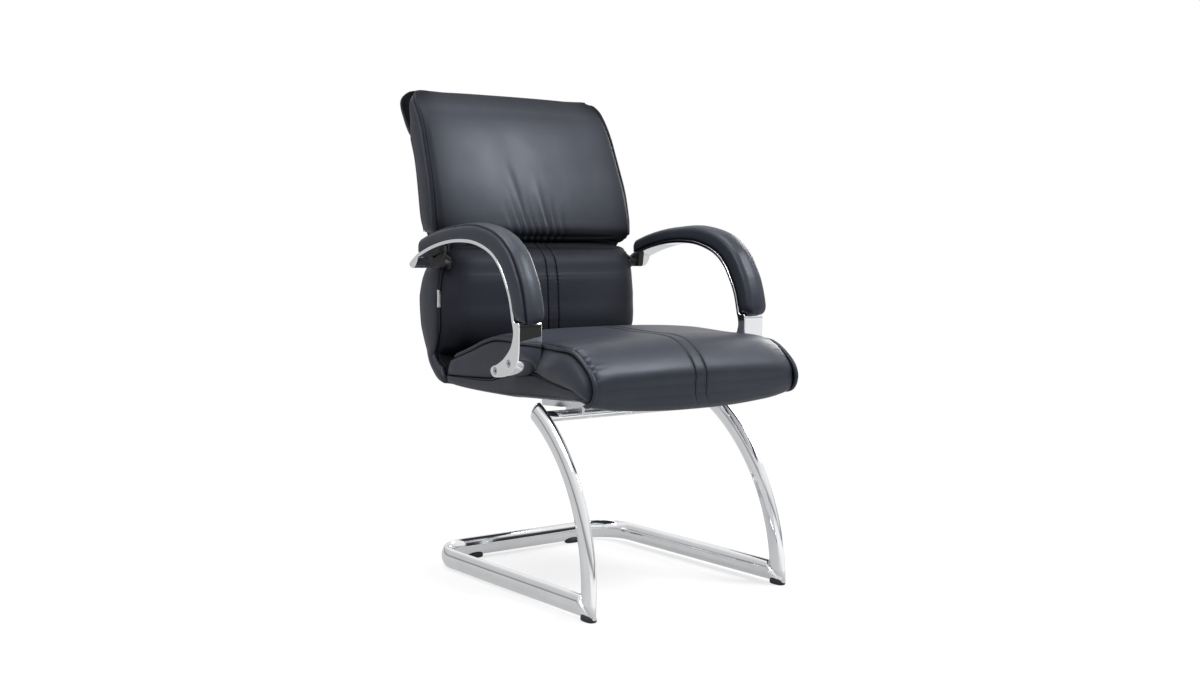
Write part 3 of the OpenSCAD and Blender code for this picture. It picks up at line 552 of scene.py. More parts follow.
# Gathers that fan up from the middle of the lower seam: each is a ridge
# beside a valley along its own line from (x, z) to (x, z), strongest a little
# above the seam and fading out at its upper end
def gathered(x, z):
    ridge = np.zeros(np.broadcast(x, z).shape)
    valley = ridge.copy()
    for x0, z0, x1, z1, size, depth in upperCushion["gathers"]:
        f = np.clip((z - z0) / (z1 - z0), -0.3, 1.2)
        fade = depth * np.clip(1 - f, 0, 1) ** 1.4 * (0.55 + 0.45 * np.clip(f / 0.2, 0, 1))
        d = (x - x0 - (x1 - x0) * f) / (size * (1 + 0.8 * np.clip(f, 0, 1)))
        ridge += fade * bell(d, -0.9)
        valley += fade * bell(d, 0.9)
    return ridge, valley


# The gathers, and broad soft ridges and hollows up the whole panel
def upperFolds(x, outline, far, w):
    z = outline[None, :, 1]
    ridge, valley = gathered(x, z)
    extra = 0.8 * ridge - valley
    for at, size, height, slope in upperCushion["waves"]:
        extra = extra + height * bell(z, 820, 120) * bell(x - slope * (z - 820), at, size)
    return extra * w


# Painted shade and light: darker towards the lower seam, the top and the sides
# and in the gathers' valleys, and least so in a patch on the sitter's right
# and on the gathers' ridges, a painted highlight where the light falls
def upperShade(x, y, z):
    ridge, valley = gathered(x, z)
    edges = 0.50 * bell(z, 668, 50) + 0.35 * bell(z, 985, 26) + 0.30 * bell(np.abs(x), 236, 38)
    return edges + 0.26 * (1 - bell(x, -75, 120) * bell(z, 850, 110)) + 0.08 * valley - 0.13 * ridge


upperCushion = {
    "half": 235.7, "crown": 9.5, "reach": 13.0, "rise": 9.0,
    # x and z of the lower end, x and z of the upper end, width, depth
    "gathers": [(-72, 676, -88, 765, 6.0, 2.2), (-54, 674, -72, 800, 5.2, 3.4),
                (-37, 672, -60, 850, 5.6, 4.2), (-20, 672, -38, 790, 5.0, 3.8),
                (-5, 672, -18, 765, 4.6, 3.0), (12, 672, 0, 830, 5.6, 4.0),
                (29, 673, 22, 785, 5.0, 3.0), (46, 675, 44, 750, 5.6, 2.0)],
    # x, width, height, slope
    "waves": [(-112, 58, 3.2, -0.15), (-34, 30, -1.2, -0.12), (16, 30, 0.8, -0.05), (100, 60, 1.4, 0.05)],
    "folds": upperFolds, "places": 92, "widths": backWidths, "shade": upperShade,
}
upperRear = still(spinePart(47, 68, shell["cushion"]))
upperOutline = np.vstack([upperRear, upperLine, [(192, 675.5, -4.6), (199, 671.5, -4.6)]])
makeCushion("upper_back_dressed", upperOutline, upperCushion, ["upper_back_cushion"])


# Painted shade: darkest along its top, beside the upper cushion
def rollShade(x, y, z):
    return 0.8 * bell(z, 990, 9) * np.clip((338 - y) / 12, 0, 1)


topRoll = {"half": 232.0, "crown": -4.5, "reach": 14.0, "rise": 1.5, "widths": rollWidths, "shade": rollShade,
           "endCentre": (229.0, 330.0, 962.0)}
rollOutline = np.vstack([rollLine, still((309, 968.5)), still(spinePart(65, 68, shell["roll"])[::-1])])
rollGrid = makeCushion("top_roll_dressed", rollOutline, topRoll, ["top_roll"])
print("cushions made")


# A share for each point of a line, from 0 at its two ends to 1 so many steps in
def fromEnds(count, most):
    return np.minimum(1, np.minimum(np.arange(count), np.arange(count)[::-1]) / most)


# A thin padded layer under or behind the shell, between the spine and its
# inner side; the outer face bulges in the middle and rolls inwards at the
# side edges by a quarter ellipse
def makeCover(name, first, last, half, c, nodes):
    edge = half - c["reach"] * (1 - np.sin(np.linspace(0, np.pi / 2, 12)))
    one = np.concatenate([np.linspace(0, half - c["reach"], 22)[:-1], edge])
    x = np.concatenate([-one[::-1][:-1], one])
    away = np.abs(x)
    f = np.clip((away - half + c["reach"]) / c["reach"], 0, 1)
    inset = c["round"] * (1 - np.sqrt(1 - f**2)) - c["puff"] * (1 - (away / half) ** 2)
    inset = inset + c["groove"] * bell(away, c["strip"], 1.6)
    line = spinePart(first, last)
    left = leftOf(line)
    outer = line[None] + (inset[:, None] * fromEnds(len(line), 4.0)[None])[..., None] * left[None]
    inner = np.broadcast_to(line[None] + shell["cover"] * left[None], outer.shape)
    loop = np.concatenate([outer, inner[:, ::-1]], 1)
    seam = np.zeros(loop.shape[:2])
    seam[:, : len(line)] = bell(away, c["strip"], 1.2)[:, None]
    grid = widened(placed(x[:, None], loop), c["widths"])
    makePiece(name, grid, "leather", nodes, seam=seam, flat=ends)


underCover = {"reach": 32.0, "round": 8.0, "puff": 0.0, "groove": 0.0, "strip": 400.0, "widths": level}
rearCover = {"reach": 16.0, "round": 7.0, "puff": 2.5, "groove": 1.6, "strip": 150.0, "widths": backWidths}
makeCover("under_cover_dressed", 0, 20, seatCushion["half"], underCover, ["under_cover"])
makeCover("rear_cover_dressed", 20, 64, upperCushion["half"], rearCover, ["rear_cover"])


# A side panel between two side lines: places run from the first line to the
# second, and the outer face stands out by a half ellipse between them. In
# front of the arm it swells
def makePanel(name, first, second, x0, x1, bulge, widths=level, swell=0.0, count=90):
    a, b = resampled(first, count), resampled(second, count)
    t = np.linspace(0, 1, 16)
    across = a[:, None, :2] * (1 - t[None, :, None]) + b[:, None, :2] * t[None, :, None]
    width = np.linalg.norm(a[:, :2] - b[:, :2], axis=1)
    high = x1 - x0 + (bulge + swell * eased(across[:, 0, 0], -215, -275)) * np.minimum(1, width / 30.0)
    drawnIn = np.sqrt(1 - (1 - fromEnds(count, 6.0)[:, None]) ** 2)
    outX = x0 + high[:, None] * np.clip(4 * t * (1 - t), 0, 1)[None] ** 0.38 * drawnIn
    front, back = placed(np.maximum(outX, x0 + 0.2), across), placed(x0, across)[:, ::-1]
    edge = np.exp(-np.minimum(t, 1 - t) * 16)
    seam = np.concatenate([np.broadcast_to(edge, outX.shape), np.ones(outX.shape)], 1)
    loop = widened(np.concatenate([front, back], 1), widths)
    makePair(name + "_{}_dressed", loop, "leather", [name + "_{}"], seam=seam)


# At the seat's nose the side panel and its cord stand out beyond the cushion,
# and they turn in below it
def noseOut(line, d, stand):
    stood = stand * np.clip((line[:, 1] - 386) / 30.0, 0, 1) * eased(line[:, 0], -235, -295)
    return shifted(line, (d - stood)[:, None])


panelX, seatSide, bandX, bandSide = 239.0, 245.0, 236.0, 241.0
noseEnd = smoothLine([(-345.5, 411.5), (-344.0, 400.5), (-338.0, 391.5), (-327.0, 387.0), (-314.0, 386.5)], 8)
seatEdge = np.vstack([seatLine[:180, :2], noseEnd])
makePanel("seat_panel", noseOut(seatEdge, 0.3, 4.0)[10:-12], lowerSeam, panelX, seatSide, 2.5, swell=9.0)
skirtLow = np.vstack([(159, 400.5), spinePart(0, 19, 8.0)[::-1]])
makePanel("seat_skirt", shifted(lowerSeam, 0.3), skirtLow, panelX, seatSide - 1, 1.5, swell=3.0)
lumbarEnd = [(198, 433), (184, 424), (170, 418), (160, 404), (157, 394)]
lumbarFront = np.vstack([shifted(lumbarLine, 0.3), lumbarEnd])
makePanel("lumbar_panel", lumbarFront, spinePart(20, 44)[::-1], panelX, seatSide, 3.5, backWidths)
bandFront = cushionGrid(upperOutline, {**upperCushion, "widths": level})[0][-1, len(upperRear) :, 1:]
bandFront = bandFront[: len(upperLine) - 8]
bandRear = np.vstack([[(301, 953), (300.5, 942), (299, 926), (297, 908)], spinePart(48, 64)[::-1]])
makePanel("back_band", bandFront, bandRear, bandX, bandSide, 2.0, backWidths)


# A round cord along a line in space, its ends drawn in over five rings
def cordGrid(path, radius, around=14):
    way = directions(path)
    side = np.cross(way, [1.0, 0.0, 0.0])
    side /= np.maximum(np.linalg.norm(side, axis=1, keepdims=True), 1e-9)
    angle = np.linspace(0, 2 * np.pi, around, endpoint=False)[None, :, None]
    step = np.arange(len(path))
    size = radius * np.minimum(1, 0.25 + 0.15 * np.minimum(step, step[::-1]))
    ring = side[:, None] * np.cos(angle) + np.cross(way, side)[:, None] * np.sin(angle)
    return path[:, None] + ring * size[:, None, None]


cordOut = 2.6
bandOut = cordOut * np.clip(np.arange(len(bandFront)) / 14.0, 0, 1)[:, None]
rollEdge = rollGrid[-1, : len(rollLine) - 8, 1:]
seatCord = noseOut(seatEdge, -cordOut, 5.0)[16:-2]
# name, line from the side, distance from the middle, radius, the node it replaces, widths, darkness
cords = [("seat_piping", seatCord, panelX + 2, 4.2, ["seat_piping_{}"], level, 0.0),
         ("back_piping", shifted(bandFront, -bandOut), bandX + 1.5, 3.2, ["back_piping_{}"], backWidths, 0.6),
         ("lumbar_piping", shifted(lumbarFront, -1.0)[6:-40], panelX + 1.5, 2.0, [], backWidths, 0.3),
         ("lumbar_rim", shifted(spinePart(20, 44), 1.5), panelX + 3, 2.2, [], backWidths, 0.0),
         ("seat_rim", shifted(lowerSeam, 0.15)[3:-3], seatSide - 1.4, 1.5, [], level, 0.3),
         ("back_rim", shifted(bandRear[::-1], 1.5), bandX + 3, 2.2, [], backWidths, 0.0),
         ("roll_rim", shifted(rollEdge, 1.0), topRoll["half"], 2.4, [], rollWidths, 0.3)]
for name, line, x, radius, nodes, widths, seam in cords:
    cord = cordGrid(widened(placed(x, line), widths), radius)
    makePair(name + "_{}_dressed", cord, "piping", nodes, seam=seam)


# A leather strip over the shell's bare edge: a flat band between two distances
# from its line, from x0 to x1
def stripGrid(line, low, high, x0, x1):
    corners = np.stack([shifted(line, d) for d in (low, high, high, low)], 1)
    return widened(placed(np.array([x0, x0, x1, x1]), corners), backWidths)


inside, backLift, seatLift = shell["creases"]
trim = stripGrid(spine, *shell["trim"], 224.4, bandX)
backCrease = stripGrid(spinePart(44, 49), inside, backLift, -235.0, 235.0)
seatCrease = stripGrid(spinePart(18, 27), inside, seatLift, -bandX, bandX)
# The two crease strips are darkened as painted shade, deep in the creases between the cushions, and the trim
# is darkened as much
makePair("shell_trim_{}", trim, "leather", seam=0.35, flat=allFaces)
makePiece("back_crease_all", backCrease, "leather", seam=0.35, flat=allFaces)
makePiece("seat_crease_all", seatCrease, "leather", seam=0.35, flat=allFaces)
print("side panels and piping made")

tube = {"thin": 20.0, "tall": 40.0, "edge": 5.0, "spacing": 460.0, "depth": 554.0, "ahead": 316.5,
        "bend": 78.0, "railZ": 25.0, "straight": 5.0, "legRadius": 377.0, "sweep": 59.5, "lean": 2.6,
        "crossAt": 56.0, "crossLift": 4.0, "capRound": 4.0}


# The tube's section: two wide arcs that run into two small end circles
def ovalSection(c, inset=0.0, count=15):
    half, end, edge = c["thin"] / 2 - inset, c["tall"] / 2 - c["edge"], c["edge"] - inset
    wide = (half**2 + end**2 - edge**2) / (2 * (half - edge))
    join = math.asin(end / (wide - edge))
    arc = np.linspace(-join, join, count)
    cap = np.linspace(join, math.pi - join, count)
    right = np.stack([half - wide + wide * np.cos(arc), wide * np.sin(arc)], 1)
    top = np.stack([edge * np.cos(cap), end + edge * np.sin(cap)], 1)
    return np.vstack([right[:-1], top[:-1], -right[:-1], -top[:-1]])


# The floor rail: the section stands upright along a level path of two sides,
# two quarter bends and the rear; each front end is cut at 45 degrees
def floorRail(c):
    section = ovalSection(c)
    x, rear, bend = c["spacing"] / 2, c["depth"] - c["ahead"], c["bend"]
    side = np.linspace(-c["ahead"] + 24, rear - bend, 12)
    turn = np.linspace(0, np.pi / 2, 40)[1:]
    half = np.vstack([np.column_stack([np.full(12, x), side]),
                      np.column_stack([x - bend + bend * np.cos(turn), rear - bend + bend * np.sin(turn)]),
                      [(60.0, rear), (0.0, rear)]])
    path = np.vstack([half, (half * [-1, 1])[::-1][1:]])
    plan = path[:, None] - section[None, :, :1] * leftOf(path)[:, None]
    ring = joined(plan[..., 0], plan[..., 1], c["railZ"] + section[None, :, 1])
    first, final = ring[:1].copy(), ring[-1:].copy()
    for end in (first, final):
        end[..., 1] = -c["ahead"] + section[None, :, 1]
    return np.concatenate([first, ring, final], 0)


# Places in a leg's own plane, set on the rail and leant inwards
def leant(c, across, back, up):
    lean = math.radians(c["lean"])
    x = c["spacing"] / 2 + across * math.cos(lean) - up * math.sin(lean)
    return joined(x, back - c["ahead"], c["railZ"] + across * math.sin(lean) + up * math.cos(lean))


# A leg: an arc whose section is 40 mm deep along the radius, cut at 45
# degrees at its foot
def legShape(c):
    section = ovalSection(c)
    lean = math.radians(c["lean"])
    angle = np.radians(np.linspace(0, c["sweep"], 70))[:, None]
    radius = c["legRadius"] + section[None, :, 1]
    foot = (-section[:, 1] - section[:, 0] * math.sin(lean)) / math.cos(lean)
    back = np.vstack([-section[:, 1], c["legRadius"] - radius * np.cos(angle)])
    up = np.vstack([foot, c["straight"] + radius * np.sin(angle)])
    return leant(c, section[:, 0], back, up)


# The rounded cap on a leg's top: rings that draw in along a quarter circle
def capShape(c):
    sweep = math.radians(c["sweep"])
    rings = []
    for angle in np.radians(np.linspace(0, 86, 9)):
        out = 0.05 + c["capRound"] * math.sin(angle)
        section = ovalSection(c, c["capRound"] * (1 - math.cos(angle)))
        radius = c["legRadius"] + section[:, 1]
        back = c["legRadius"] - radius * math.cos(sweep) + out * math.sin(sweep)
        up = c["straight"] + radius * math.sin(sweep) + out * math.cos(sweep)
        rings.append(leant(c, section[:, 0], back, up))
    return np.stack(rings)


# The cross tube: the section lies flat between the legs, square to the arc
def crossTube(c):
    angle = math.radians(c["crossAt"])
    y = -c["ahead"] + c["legRadius"] * (1 - math.cos(angle))
    z = c["railZ"] + c["straight"] + c["legRadius"] * math.sin(angle) + c["crossLift"]
    reach = c["spacing"] / 2 - (z - c["railZ"]) * math.tan(math.radians(c["lean"]))
    section = ovalSection(c)
    x = np.linspace(-reach, reach, 12)[:, None]
    return joined(x, y + section[None, :, 1], z + section[None, :, 0])


makePiece("floor_rail_dressed", floorRail(tube), "chrome", ["floor_rail"], flat=ends)
makePair("leg_{}_dressed", legShape(tube), "chrome", ["leg_{}"], flat=ends)
makePair("leg_cap_{}", capShape(tube), "chrome", ["leg_caps"], flat=ends)
makePiece("cross_tube_dressed", crossTube(tube), "chrome", ["cross_tube"], flat=ends)
print("chrome base made")

arm = {
    "line": [(173, 648.5), (120.6, 664), (62, 674.5), (5.6, 677.5), (-49, 672.5), (-101.4, 655),
             (-135.4, 628), (-158.7, 592), (-170.1, 567), (-176.5, 542), (-179.5, 528)],
    "tail": [(175, 633), (180, 627), (184, 623), (191, 619.5), (199.5, 620.8), (204.6, 624), (205.5, 627),
             (203, 631), (195, 636.2)],
    "postFront": [(-179.5, 528), (-186, 525), (-197, 524), (-197.5, 500), (-196, 470), (-190.5, 453),
                  (-174, 437), (-150.6, 426.5), (-119.9, 422.7), (-108, 424), (-100.5, 432), (-104, 441),
                  (-120, 446)],
    "postRear": [(-120, 446), (-144, 458.4), (-168, 480), (-177, 502), (-176, 517)],
    "inner": 247.0, "outer": 297.0, "bar": 7.0, "round": 1.6,  # the bar's two side faces and its thickness
    "tab": [(146, 649), (150, 622), (153, 619.5), (188, 619.5), (188, 630), (166, 642)],
    "holes": [(-117, 434.5), (-163, 451)], "holeRadius": 7.1, "holeFrom": 291.0, "holeTo": 320.0,
}
armLine = smoothLine(arm["line"], 14)


# A solid between two faces across the chair: its side outline drawn in by a
# quarter circle at each face, so that its edges are round, with two more
# rings beside them that keep the faces' look flat
def roundedSlab(outline, x0, x1, radius):
    a = np.linspace(0, np.pi / 2, 5)
    near = np.concatenate([radius * (1 - np.cos(a)), [radius + 0.3, radius + 0.6]])
    x = np.concatenate([x0 + near, x1 - near[::-1]])
    inset = np.concatenate([radius * (1 - np.sin(a)), np.zeros(4), radius * (1 - np.sin(a[::-1]))])
    y, z = outline.T
    area = np.sum(y * np.roll(z, -1) - np.roll(y, -1) * z)
    drawn = outline[None] + np.sign(area) * inset[:, None, None] * leftOf(outline, closed=True)[None]
    return placed(x[:, None], drawn)


# Round holes are cut with a cylinder along the X axis
def cutHoles(obj, sign, c):
    x0, x1 = c["holeFrom"], c["holeTo"]
    for y, z in c["holes"]:
        bpy.ops.mesh.primitive_cylinder_add(
            vertices=40, radius=c["holeRadius"] * mm, depth=(x1 - x0) * mm, rotation=(0, math.pi / 2, 0),
            location=(sign * (x0 + x1) / 2 * mm, y * mm, z * mm))
        cutter = bpy.context.object
        cut = obj.modifiers.new("hole", "BOOLEAN")
        cut.operation, cut.object, cut.solver = "DIFFERENCE", cutter, "EXACT"
        bpy.context.view_layer.update()
        done = bpy.data.meshes.new_from_object(obj.evaluated_get(bpy.context.evaluated_depsgraph_get()))
        obj.modifiers.clear()
        obj.data = done
        bpy.data.objects.remove(cutter)


armOutline = np.vstack([armLine[:-1], smoothLine(arm["postFront"], 6)[:-1], smoothLine(arm["postRear"], 6),
                        shifted(armLine, arm["bar"])[::-1], smoothLine(arm["tail"], 5)])
apart = np.concatenate([[True], np.linalg.norm(np.diff(armOutline, axis=0), axis=1) > 0.4])
armBar = roundedSlab(armOutline[apart], arm["inner"], arm["outer"], arm["round"])
armBars = makePair("arm_bar_{}_dressed", armBar, "chrome", ["arm_bar_{}"], flat=ends)
for bar, sign in zip(armBars, sides.values()):
    cutHoles(bar, sign, arm)
tab = resampled(np.array(arm["tab"] + arm["tab"][:1], float), 60)[:-1]
armTab = roundedSlab(tab, arm["inner"] - 0.2, arm["inner"] + 5, 0.8)
tabCover = roundedSlab(tab + (tab - tab.mean(0)) * 0.03, arm["inner"] + 2.5, arm["inner"] + 13, 2.0)
makePair("arm_tab_{}", armTab, "steel", flat=ends, look="black")
makePair("arm_tab_cover_{}", tabCover, "rubber", flat=ends)
print("arm bars made")

armPad = {"half": 25.0, "top": 26.5, "front": 39.0, "edge": 13.0, "roundRear": 16.0, "roundFront": 20.0,
          "endWay": (-0.985, -0.17), "rings": 150, "crown": 1.8, "lift": 0.25}


# The arm pad: a section with two round shoulders and a crowned top, carried
# along the bar's line. Its depth grows from the top of the arm to its front,
# and at the ends both the width and the depth draw in by an ellipse. It is
# darker along its outer shoulder's seam, and where it meets the bar, as
# painted shade in the gap
def padShape(c):
    line = resampled(armLine, c["rings"])
    far = runLength(line)
    spread = 0.5 * (1 - np.cos(np.linspace(0, np.pi, c["rings"])))
    at = np.interp(spread, np.linspace(0, 1, c["rings"]), far)
    line, out = readAt(at, far, line), readAt(at, far, -leftOf(line))
    s = (at / far[-1])[:, None]
    bend = np.clip((s - 0.86) / 0.14, 0, 1)
    out = out * (1 - bend) + np.array(c["endWay"]) * bend
    rear, front = (np.sqrt(np.clip(1 - np.clip(1 - d[:, None] / size, 0, 1) ** 2, 0.0, 1))
                   for d, size in ((at, c["roundRear"]), (far[-1] - at, c["roundFront"])))
    half = c["half"] * (0.72 + 0.28 * rear) * (0.58 + 0.42 * front)
    depth = c["top"] + (c["front"] - c["top"]) * np.clip((s - 0.35) / 0.4, 0, 1)
    depth = depth * (0.30 + 0.70 * rear) * (0.60 + 0.40 * front)
    edge = np.minimum(c["edge"], depth * 0.8)
    thick = np.minimum(1, depth / 20)
    flank = np.linspace(0, 1, 6)[:-1]
    a = np.linspace(0, np.pi / 2, 9)
    x = np.concatenate([-0.72 * np.sin(np.pi * flank) * thick, edge * (1 - np.cos(a))], 1) - half
    x = np.minimum(x, -0.5)
    h = np.concatenate([flank * (depth - edge), depth + edge * (np.sin(a) - 1)], 1)
    top = np.linspace(-1, 1, 11)[1:-1]
    base = np.linspace(1, -1, 7)[1:-1]
    crown = c["crown"] * (1 - top**2) * thick
    x = np.concatenate([x, -top * x[:, -1:], -x[:, ::-1], base * half], 1)
    h = np.concatenate([h, depth + crown, h[:, ::-1], np.zeros((len(h), len(base)))], 1) + c["lift"]
    yz = line[:, None] + h[..., None] * out[:, None]
    seam = np.zeros(x.shape)
    seam[:, :2] = seam[:, 26:28] = 0.85
    return placed((arm["inner"] + arm["outer"]) / 2 + x, yz), seam


padGrid, padSeamAndShade = padShape(armPad)
for pad in makePair("arm_pad_{}_dressed", padGrid, "leather", ["arm_pad_{}"], seam=padSeamAndShade):
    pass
print("arm pads made")


# Stitches: the same small rounded thread at even distances along a line that
# lies on a surface, turned to the line's direction
def makeStitches(name, lines, pitch, length, radius):
    along = np.array([-0.5, -0.42, -0.2, 0.2, 0.42, 0.5]) * length
    size = np.array([0.15, 0.75, 1.0, 1.0, 0.75, 0.15])[:, None] * radius
    a = np.linspace(0, 2 * np.pi, 6, endpoint=False)
    thread = joined(along[:, None], size * np.cos(a), size * np.sin(a))
    threads = []
    for path, out in lines:
        far = runLength(path)
        at = np.arange(pitch, far[-1] - pitch, pitch)
        centre, way, up = (readAt(at, far, values) for values in (path, directions(path), out))
        axes = np.stack([way, np.cross(way, up), up], 1)
        threads.append(centre[:, None, None] + thread @ axes[:, None])
    makePiece(name, np.concatenate(threads), "piping", look="thread")


# The row of a cushion's grid nearest to x, raised, with its outward direction
def onCushion(grid, x, first, last, lift):
    path = grid[np.argmin(np.abs(grid[:, 0, 0] - x)), first:last]
    out = np.cross(directions(path), [1.0, 0.0, 0.0])
    return path + lift * out, out


stitch = {"beside": (8.9, 16.9), "lift": 0.15, "band": (0.22, 0.34)}  # distances, and shares of the band
seatStart = len(spinePart(0, 20)) + 1
lumbarStart = len(spinePart(25, 46)) + 2
sewn = ((seatGrid, seatStart + 8, seatStart + len(seatLine) - 6),
        (lumbarGrid, lumbarStart + 5, lumbarStart + len(lumbarLine) - 5))
stripStitches = [onCushion(grid, sign * x, first, last, stitch["lift"])
                 for grid, first, last in sewn for sign in sides.values() for x in stitch["beside"]]
makeStitches("strip_stitches", stripStitches, 4.6, 3.4, 0.42)
bandStitches = []
for f in stitch["band"]:
    line = (resampled(bandFront, 90) * (1 - f) + resampled(bandRear, 90) * f)[3:-3]
    path = widened(placed(bandX + 7.0 * (4 * f * (1 - f)) ** 0.30 + 0.1, line), backWidths)
    for sign in sides.values():
        bandStitches.append((onSide(path, sign), np.broadcast_to([sign, 0.0, 0.0], path.shape)))
makeStitches("band_stitches", bandStitches, 4.2, 3.0, 0.45)
print("stitching made")


# A rigid node's copy for the look: merged, its flat faces joined, and its
# edges given a small bevel
def dressNode(name, slot, look, bevel):
    node = frame["nodes"][name]
    mesh = node.data.copy()
    work = bmesh.new()
    work.from_mesh(mesh)
    bmesh.ops.transform(work, matrix=node.matrix_world, verts=work.verts)
    bmesh.ops.remove_doubles(work, verts=work.verts, dist=0.00001)
    bmesh.ops.dissolve_limit(work, angle_limit=math.radians(1.0), verts=work.verts, edges=work.edges)
    work.to_mesh(mesh)
    work.free()
    mesh.polygons.foreach_set("use_smooth", np.ones(len(mesh.polygons), bool))
    mesh.materials.clear()
    mesh.materials.append(finishes[look])
    obj = addObject(name + "_dressed", mesh)
    sharp = math.radians(32)
    edge = obj.modifiers.new("edge", "BEVEL")
    edge.width, edge.segments, edge.limit_method, edge.angle_limit = bevel * mm, 2, "ANGLE", sharp
    edge.harden_normals = True
    mesh.set_sharp_from_angle(angle=sharp)
    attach(obj, "root")
    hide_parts(name)


# name, slot, look, bevel
dressed = [("gussets", "chrome", "satin", 0.8), ("seat_plate", "chrome", "satin", 0.8),
           ("arm_spacers", "rubber", "rubber", 0.3), ("arm_bolts", "steel", "steel", 0.3),
           ("plate_bolts", "steel", "steel", 0.3), ("plate_washers", "steel", "steel", 0.2),
           ("back_bracket_left", "steel", "black", 0.5), ("back_bracket_right", "steel", "black", 0.5)]
for settings in dressed:
    dressNode(*settings)

# height and inset of each ring, then the foot's two half lengths
glide = {"rings": [(0, 2.2), (0.5, 1.1), (1.6, 0.3), (3.0, 0.0), (6.0, 0.1), (9.0, 0.8), (11.5, 2.4)],
         "half": (10.4, 18.0), "front": (230.0, -316.5), "rear": (127.0, 237.5)}


# A glide: rings whose outline is |a|^2.6 + |b|^2.6 = 1, round at its foot
def glideShape(x, y, turned, c):
    angle = np.linspace(0, 2 * np.pi, 48, endpoint=False)
    a, b = (np.sign(s) * np.abs(s) ** (2 / 2.6) for s in (np.cos(angle), np.sin(angle)))
    rings = []
    for z, inset in c["rings"]:
        u, v = a * (c["half"][0] - inset), b * (c["half"][1] - inset)
        ring = (x + v, y + u) if turned else (x + u, y + v)
        rings.append(joined(*ring, z))
    return np.stack(rings)


for place in ("front", "rear"):
    shape = glideShape(*glide[place], place == "rear", glide)
    makePair(place + "_glide_{}", shape, "rubber", [place + "_glides"], flat=ends)

# The small blank tag: a folded strip of woven tape that curves outwards
tag = {"curve": [(-239.2, 178.9), (-242.5, 178.0), (-246.2, 178.4), (-247.6, 179.0)], "low": 539.5,
       "high": 574.5, "thick": 0.9}
tagZ = np.linspace(tag["low"], tag["high"], 14)
tagGrid = np.array([[(x, y + 0.25 * math.sin((z - 539) / 6.0), z) for x, y in smoothLine(tag["curve"], 6)]
                    for z in tagZ])
tagLoop = np.concatenate([tagGrid, (tagGrid + np.array([0.0, tag["thick"], 0.0]))[:, ::-1]], 1)
makePiece("side_tag_dressed", tagLoop, "tag", ["side_tag"])

for part in frame["record"]["subparts"]:
    materials = frame["nodes"][part["node"]].data.materials
    if materials:
        materials[0] = finishes[part["material_slot"]]
    else:
        materials.append(finishes[part["material_slot"]])
print("small pieces dressed")

studio = {
    "sky": (0.16, 0.95),  # diffuse light from the horizon and from straight above
    # greys that polished metal sees, by height from straight down to straight up
    "heights": [(0.0, 0.9), (0.503, 0.95), (0.515, 0.30), (0.54, 0.50), (0.58, 0.95), (0.80, 1.0),
                (0.95, 0.72)],
    # and by the angle from -Y towards +X, where 0.5 is straight ahead
    "angles": [(0.0, 0.72), (0.06, 0.62), (0.18, 0.72), (0.30, 0.95), (0.552, 1.0), (0.562, 0.04),
               (0.603, 0.04), (0.613, 1.0), (0.85, 0.9)],
    "evenAbove": (0.30, 0.55),  # the angles fade out between these heights
    # name, place, aimed at, size, power
    "lamps": [("key", (1.5, -2.0, 3.0), (0, 0, 0.7), 1.1, 80.0),
              ("top", (-0.4, 0.2, 3.2), (0, 0, 0.3), 1.6, 46.0),
              ("left", (-2.5, 0.1, 2.1), (0, 0, 0.6), 0.9, 26.0),
              ("rim", (2.7, 0.9, 1.5), (0, 0, 0.7), 0.9, 26.0)],
}
white = (1, 1, 1, 1)


# The world gives light that grows with height, and for the camera it is
# plain white. Polished metal sees a white room, darker at the horizon, with a
# dark upright band in front to the right and a grey side behind to the left
def makeWorld(c):
    world = bpy.data.worlds.new("studio")
    scene.world = world
    world.use_nodes = True
    tree = world.node_tree
    tree.nodes.clear()
    ray = tree.nodes.new("ShaderNodeLightPath").outputs
    place = tree.nodes.new("ShaderNodeTexCoord").outputs["Generated"]
    way = addNode(tree, "ShaderNodeSeparateXYZ", Vector=place).outputs
    height = addRamp(tree, addRange(tree, way["Z"], (0.0, 1.0), (-1.0, 1.0)), c["heights"])
    angle = addMath(tree, "ARCTAN2", way["X"], addMath(tree, "MULTIPLY", way["Y"], -1.0))
    around = addRamp(tree, addMath(tree, "MULTIPLY_ADD", angle, 0.5 / math.pi, 0.5), c["angles"])
    high = addRange(tree, way["Z"], (0.0, 1.0), c["evenAbove"], "SMOOTHSTEP")
    tone = mixColours(tree, 1.0, height, mixColours(tree, high, around, white), "MULTIPLY")
    even, room, plain = (addNode(tree, "ShaderNodeBackground", Color=colour, Strength=strength).outputs[0]
                         for colour, strength in ((white, addRange(tree, way["Z"], c["sky"])), (tone, 1.0),
                                                  (white, 1.0)))
    lit = mixShaders(tree, ray["Is Glossy Ray"], even, room)
    addNode(tree, "ShaderNodeOutputWorld", Surface=mixShaders(tree, ray["Is Camera Ray"], lit, plain))


def addGlow(tree, strength):
    return addNode(tree, "ShaderNodeEmission", Color=white, Strength=strength).outputs[0]


# A shader that is so much of a matte floor and so much of a plain glow
def partGlow(tree, matte, share, strength):
    part = mixShaders(tree, share, addGlow(tree, 0.0), matte)
    return addInOrder(tree, "ShaderNodeAddShader", part, addGlow(tree, strength))


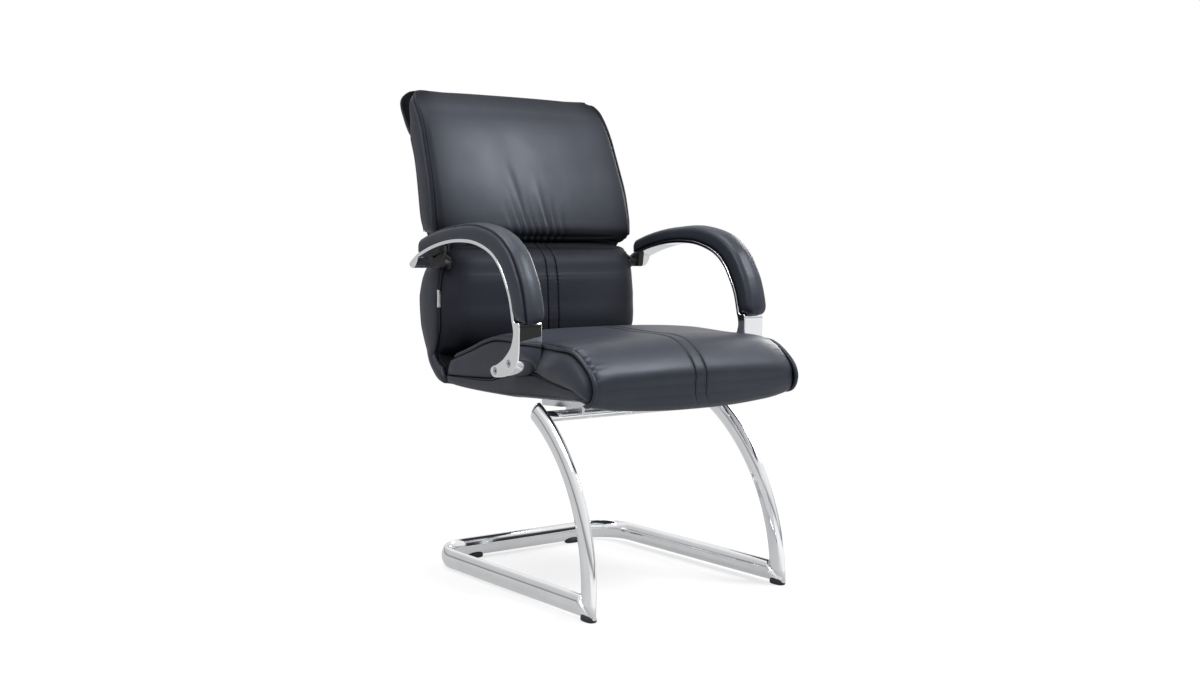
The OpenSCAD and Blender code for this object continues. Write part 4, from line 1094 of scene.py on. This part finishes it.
ground = {
    "half": 2.5,
    "pale": 0.86, "paleShare": 0.42, "paleGlow": 0.62,  # as the camera sees it
    "dull": 0.40, "dullShare": 0.45, "dullGlow": (0.78, 0.41),  # as metal sees it, in front and behind
    "ahead": (-0.44, -0.30),
    "fade": (0.8, 2.0),
}


# The floor: matte and pale. The camera sees part of it as plain white, more
# and more with the distance from the chair, so that it keeps a soft shadow
# and runs into the background. Polished metal sees it pale in front of the
# chair and grey beside and behind it
def makeFloor(c):
    h = c["half"]
    mesh = bpy.data.meshes.new("floor")
    mesh.from_pydata([(-h, -h, 0), (h, -h, 0), (h, h, 0), (-h, h, 0)], [], [(0, 1, 2, 3)])
    mat, tree, place = newMaterial("pale floor")
    ray = tree.nodes.new("ShaderNodeLightPath").outputs
    y = addNode(tree, "ShaderNodeSeparateXYZ", Vector=place).outputs["Y"]
    pale, dull = (addNode(tree, "ShaderNodeBsdfDiffuse", Color=(grey, grey, grey, 1.0)).outputs[0]
                  for grey in (c["pale"], c["dull"]))
    shining = partGlow(tree, dull, c["dullShare"], addRange(tree, y, c["dullGlow"], c["ahead"], "SMOOTHSTEP"))
    far = addNode(tree, "ShaderNodeVectorMath", operation="LENGTH")
    feed(tree, far.inputs[0], place)
    fade = addRange(tree, far.outputs["Value"], (0.0, 1.0), c["fade"], "SMOOTHSTEP")
    seen = mixShaders(tree, fade, partGlow(tree, pale, c["paleShare"], c["paleGlow"]), addGlow(tree, 1.0))
    lit = mixShaders(tree, ray["Is Glossy Ray"], dull, shining)
    addNode(tree, "ShaderNodeOutputMaterial", Surface=mixShaders(tree, ray["Is Camera Ray"], lit, seen))
    mesh.materials.append(mat)
    addObject("floor", mesh)


# A square lamp turned to face its target
def makeLamp(name, place, target, size, power):
    data = bpy.data.lights.new(name, "AREA")
    data.energy, data.size = power, size
    obj = addObject(name, data)
    way = np.array(target, float) - np.array(place, float)
    up = math.asin(way[2] / np.linalg.norm(way))
    obj.location = place
    obj.rotation_euler = (math.pi / 2 + up, 0.0, math.atan2(way[1], way[0]) - math.pi / 2)


makeWorld(studio)
makeFloor(ground)
for lamp in studio["lamps"]:
    makeLamp(*lamp)
scene.view_settings.view_transform = "Standard"
print("studio lit")
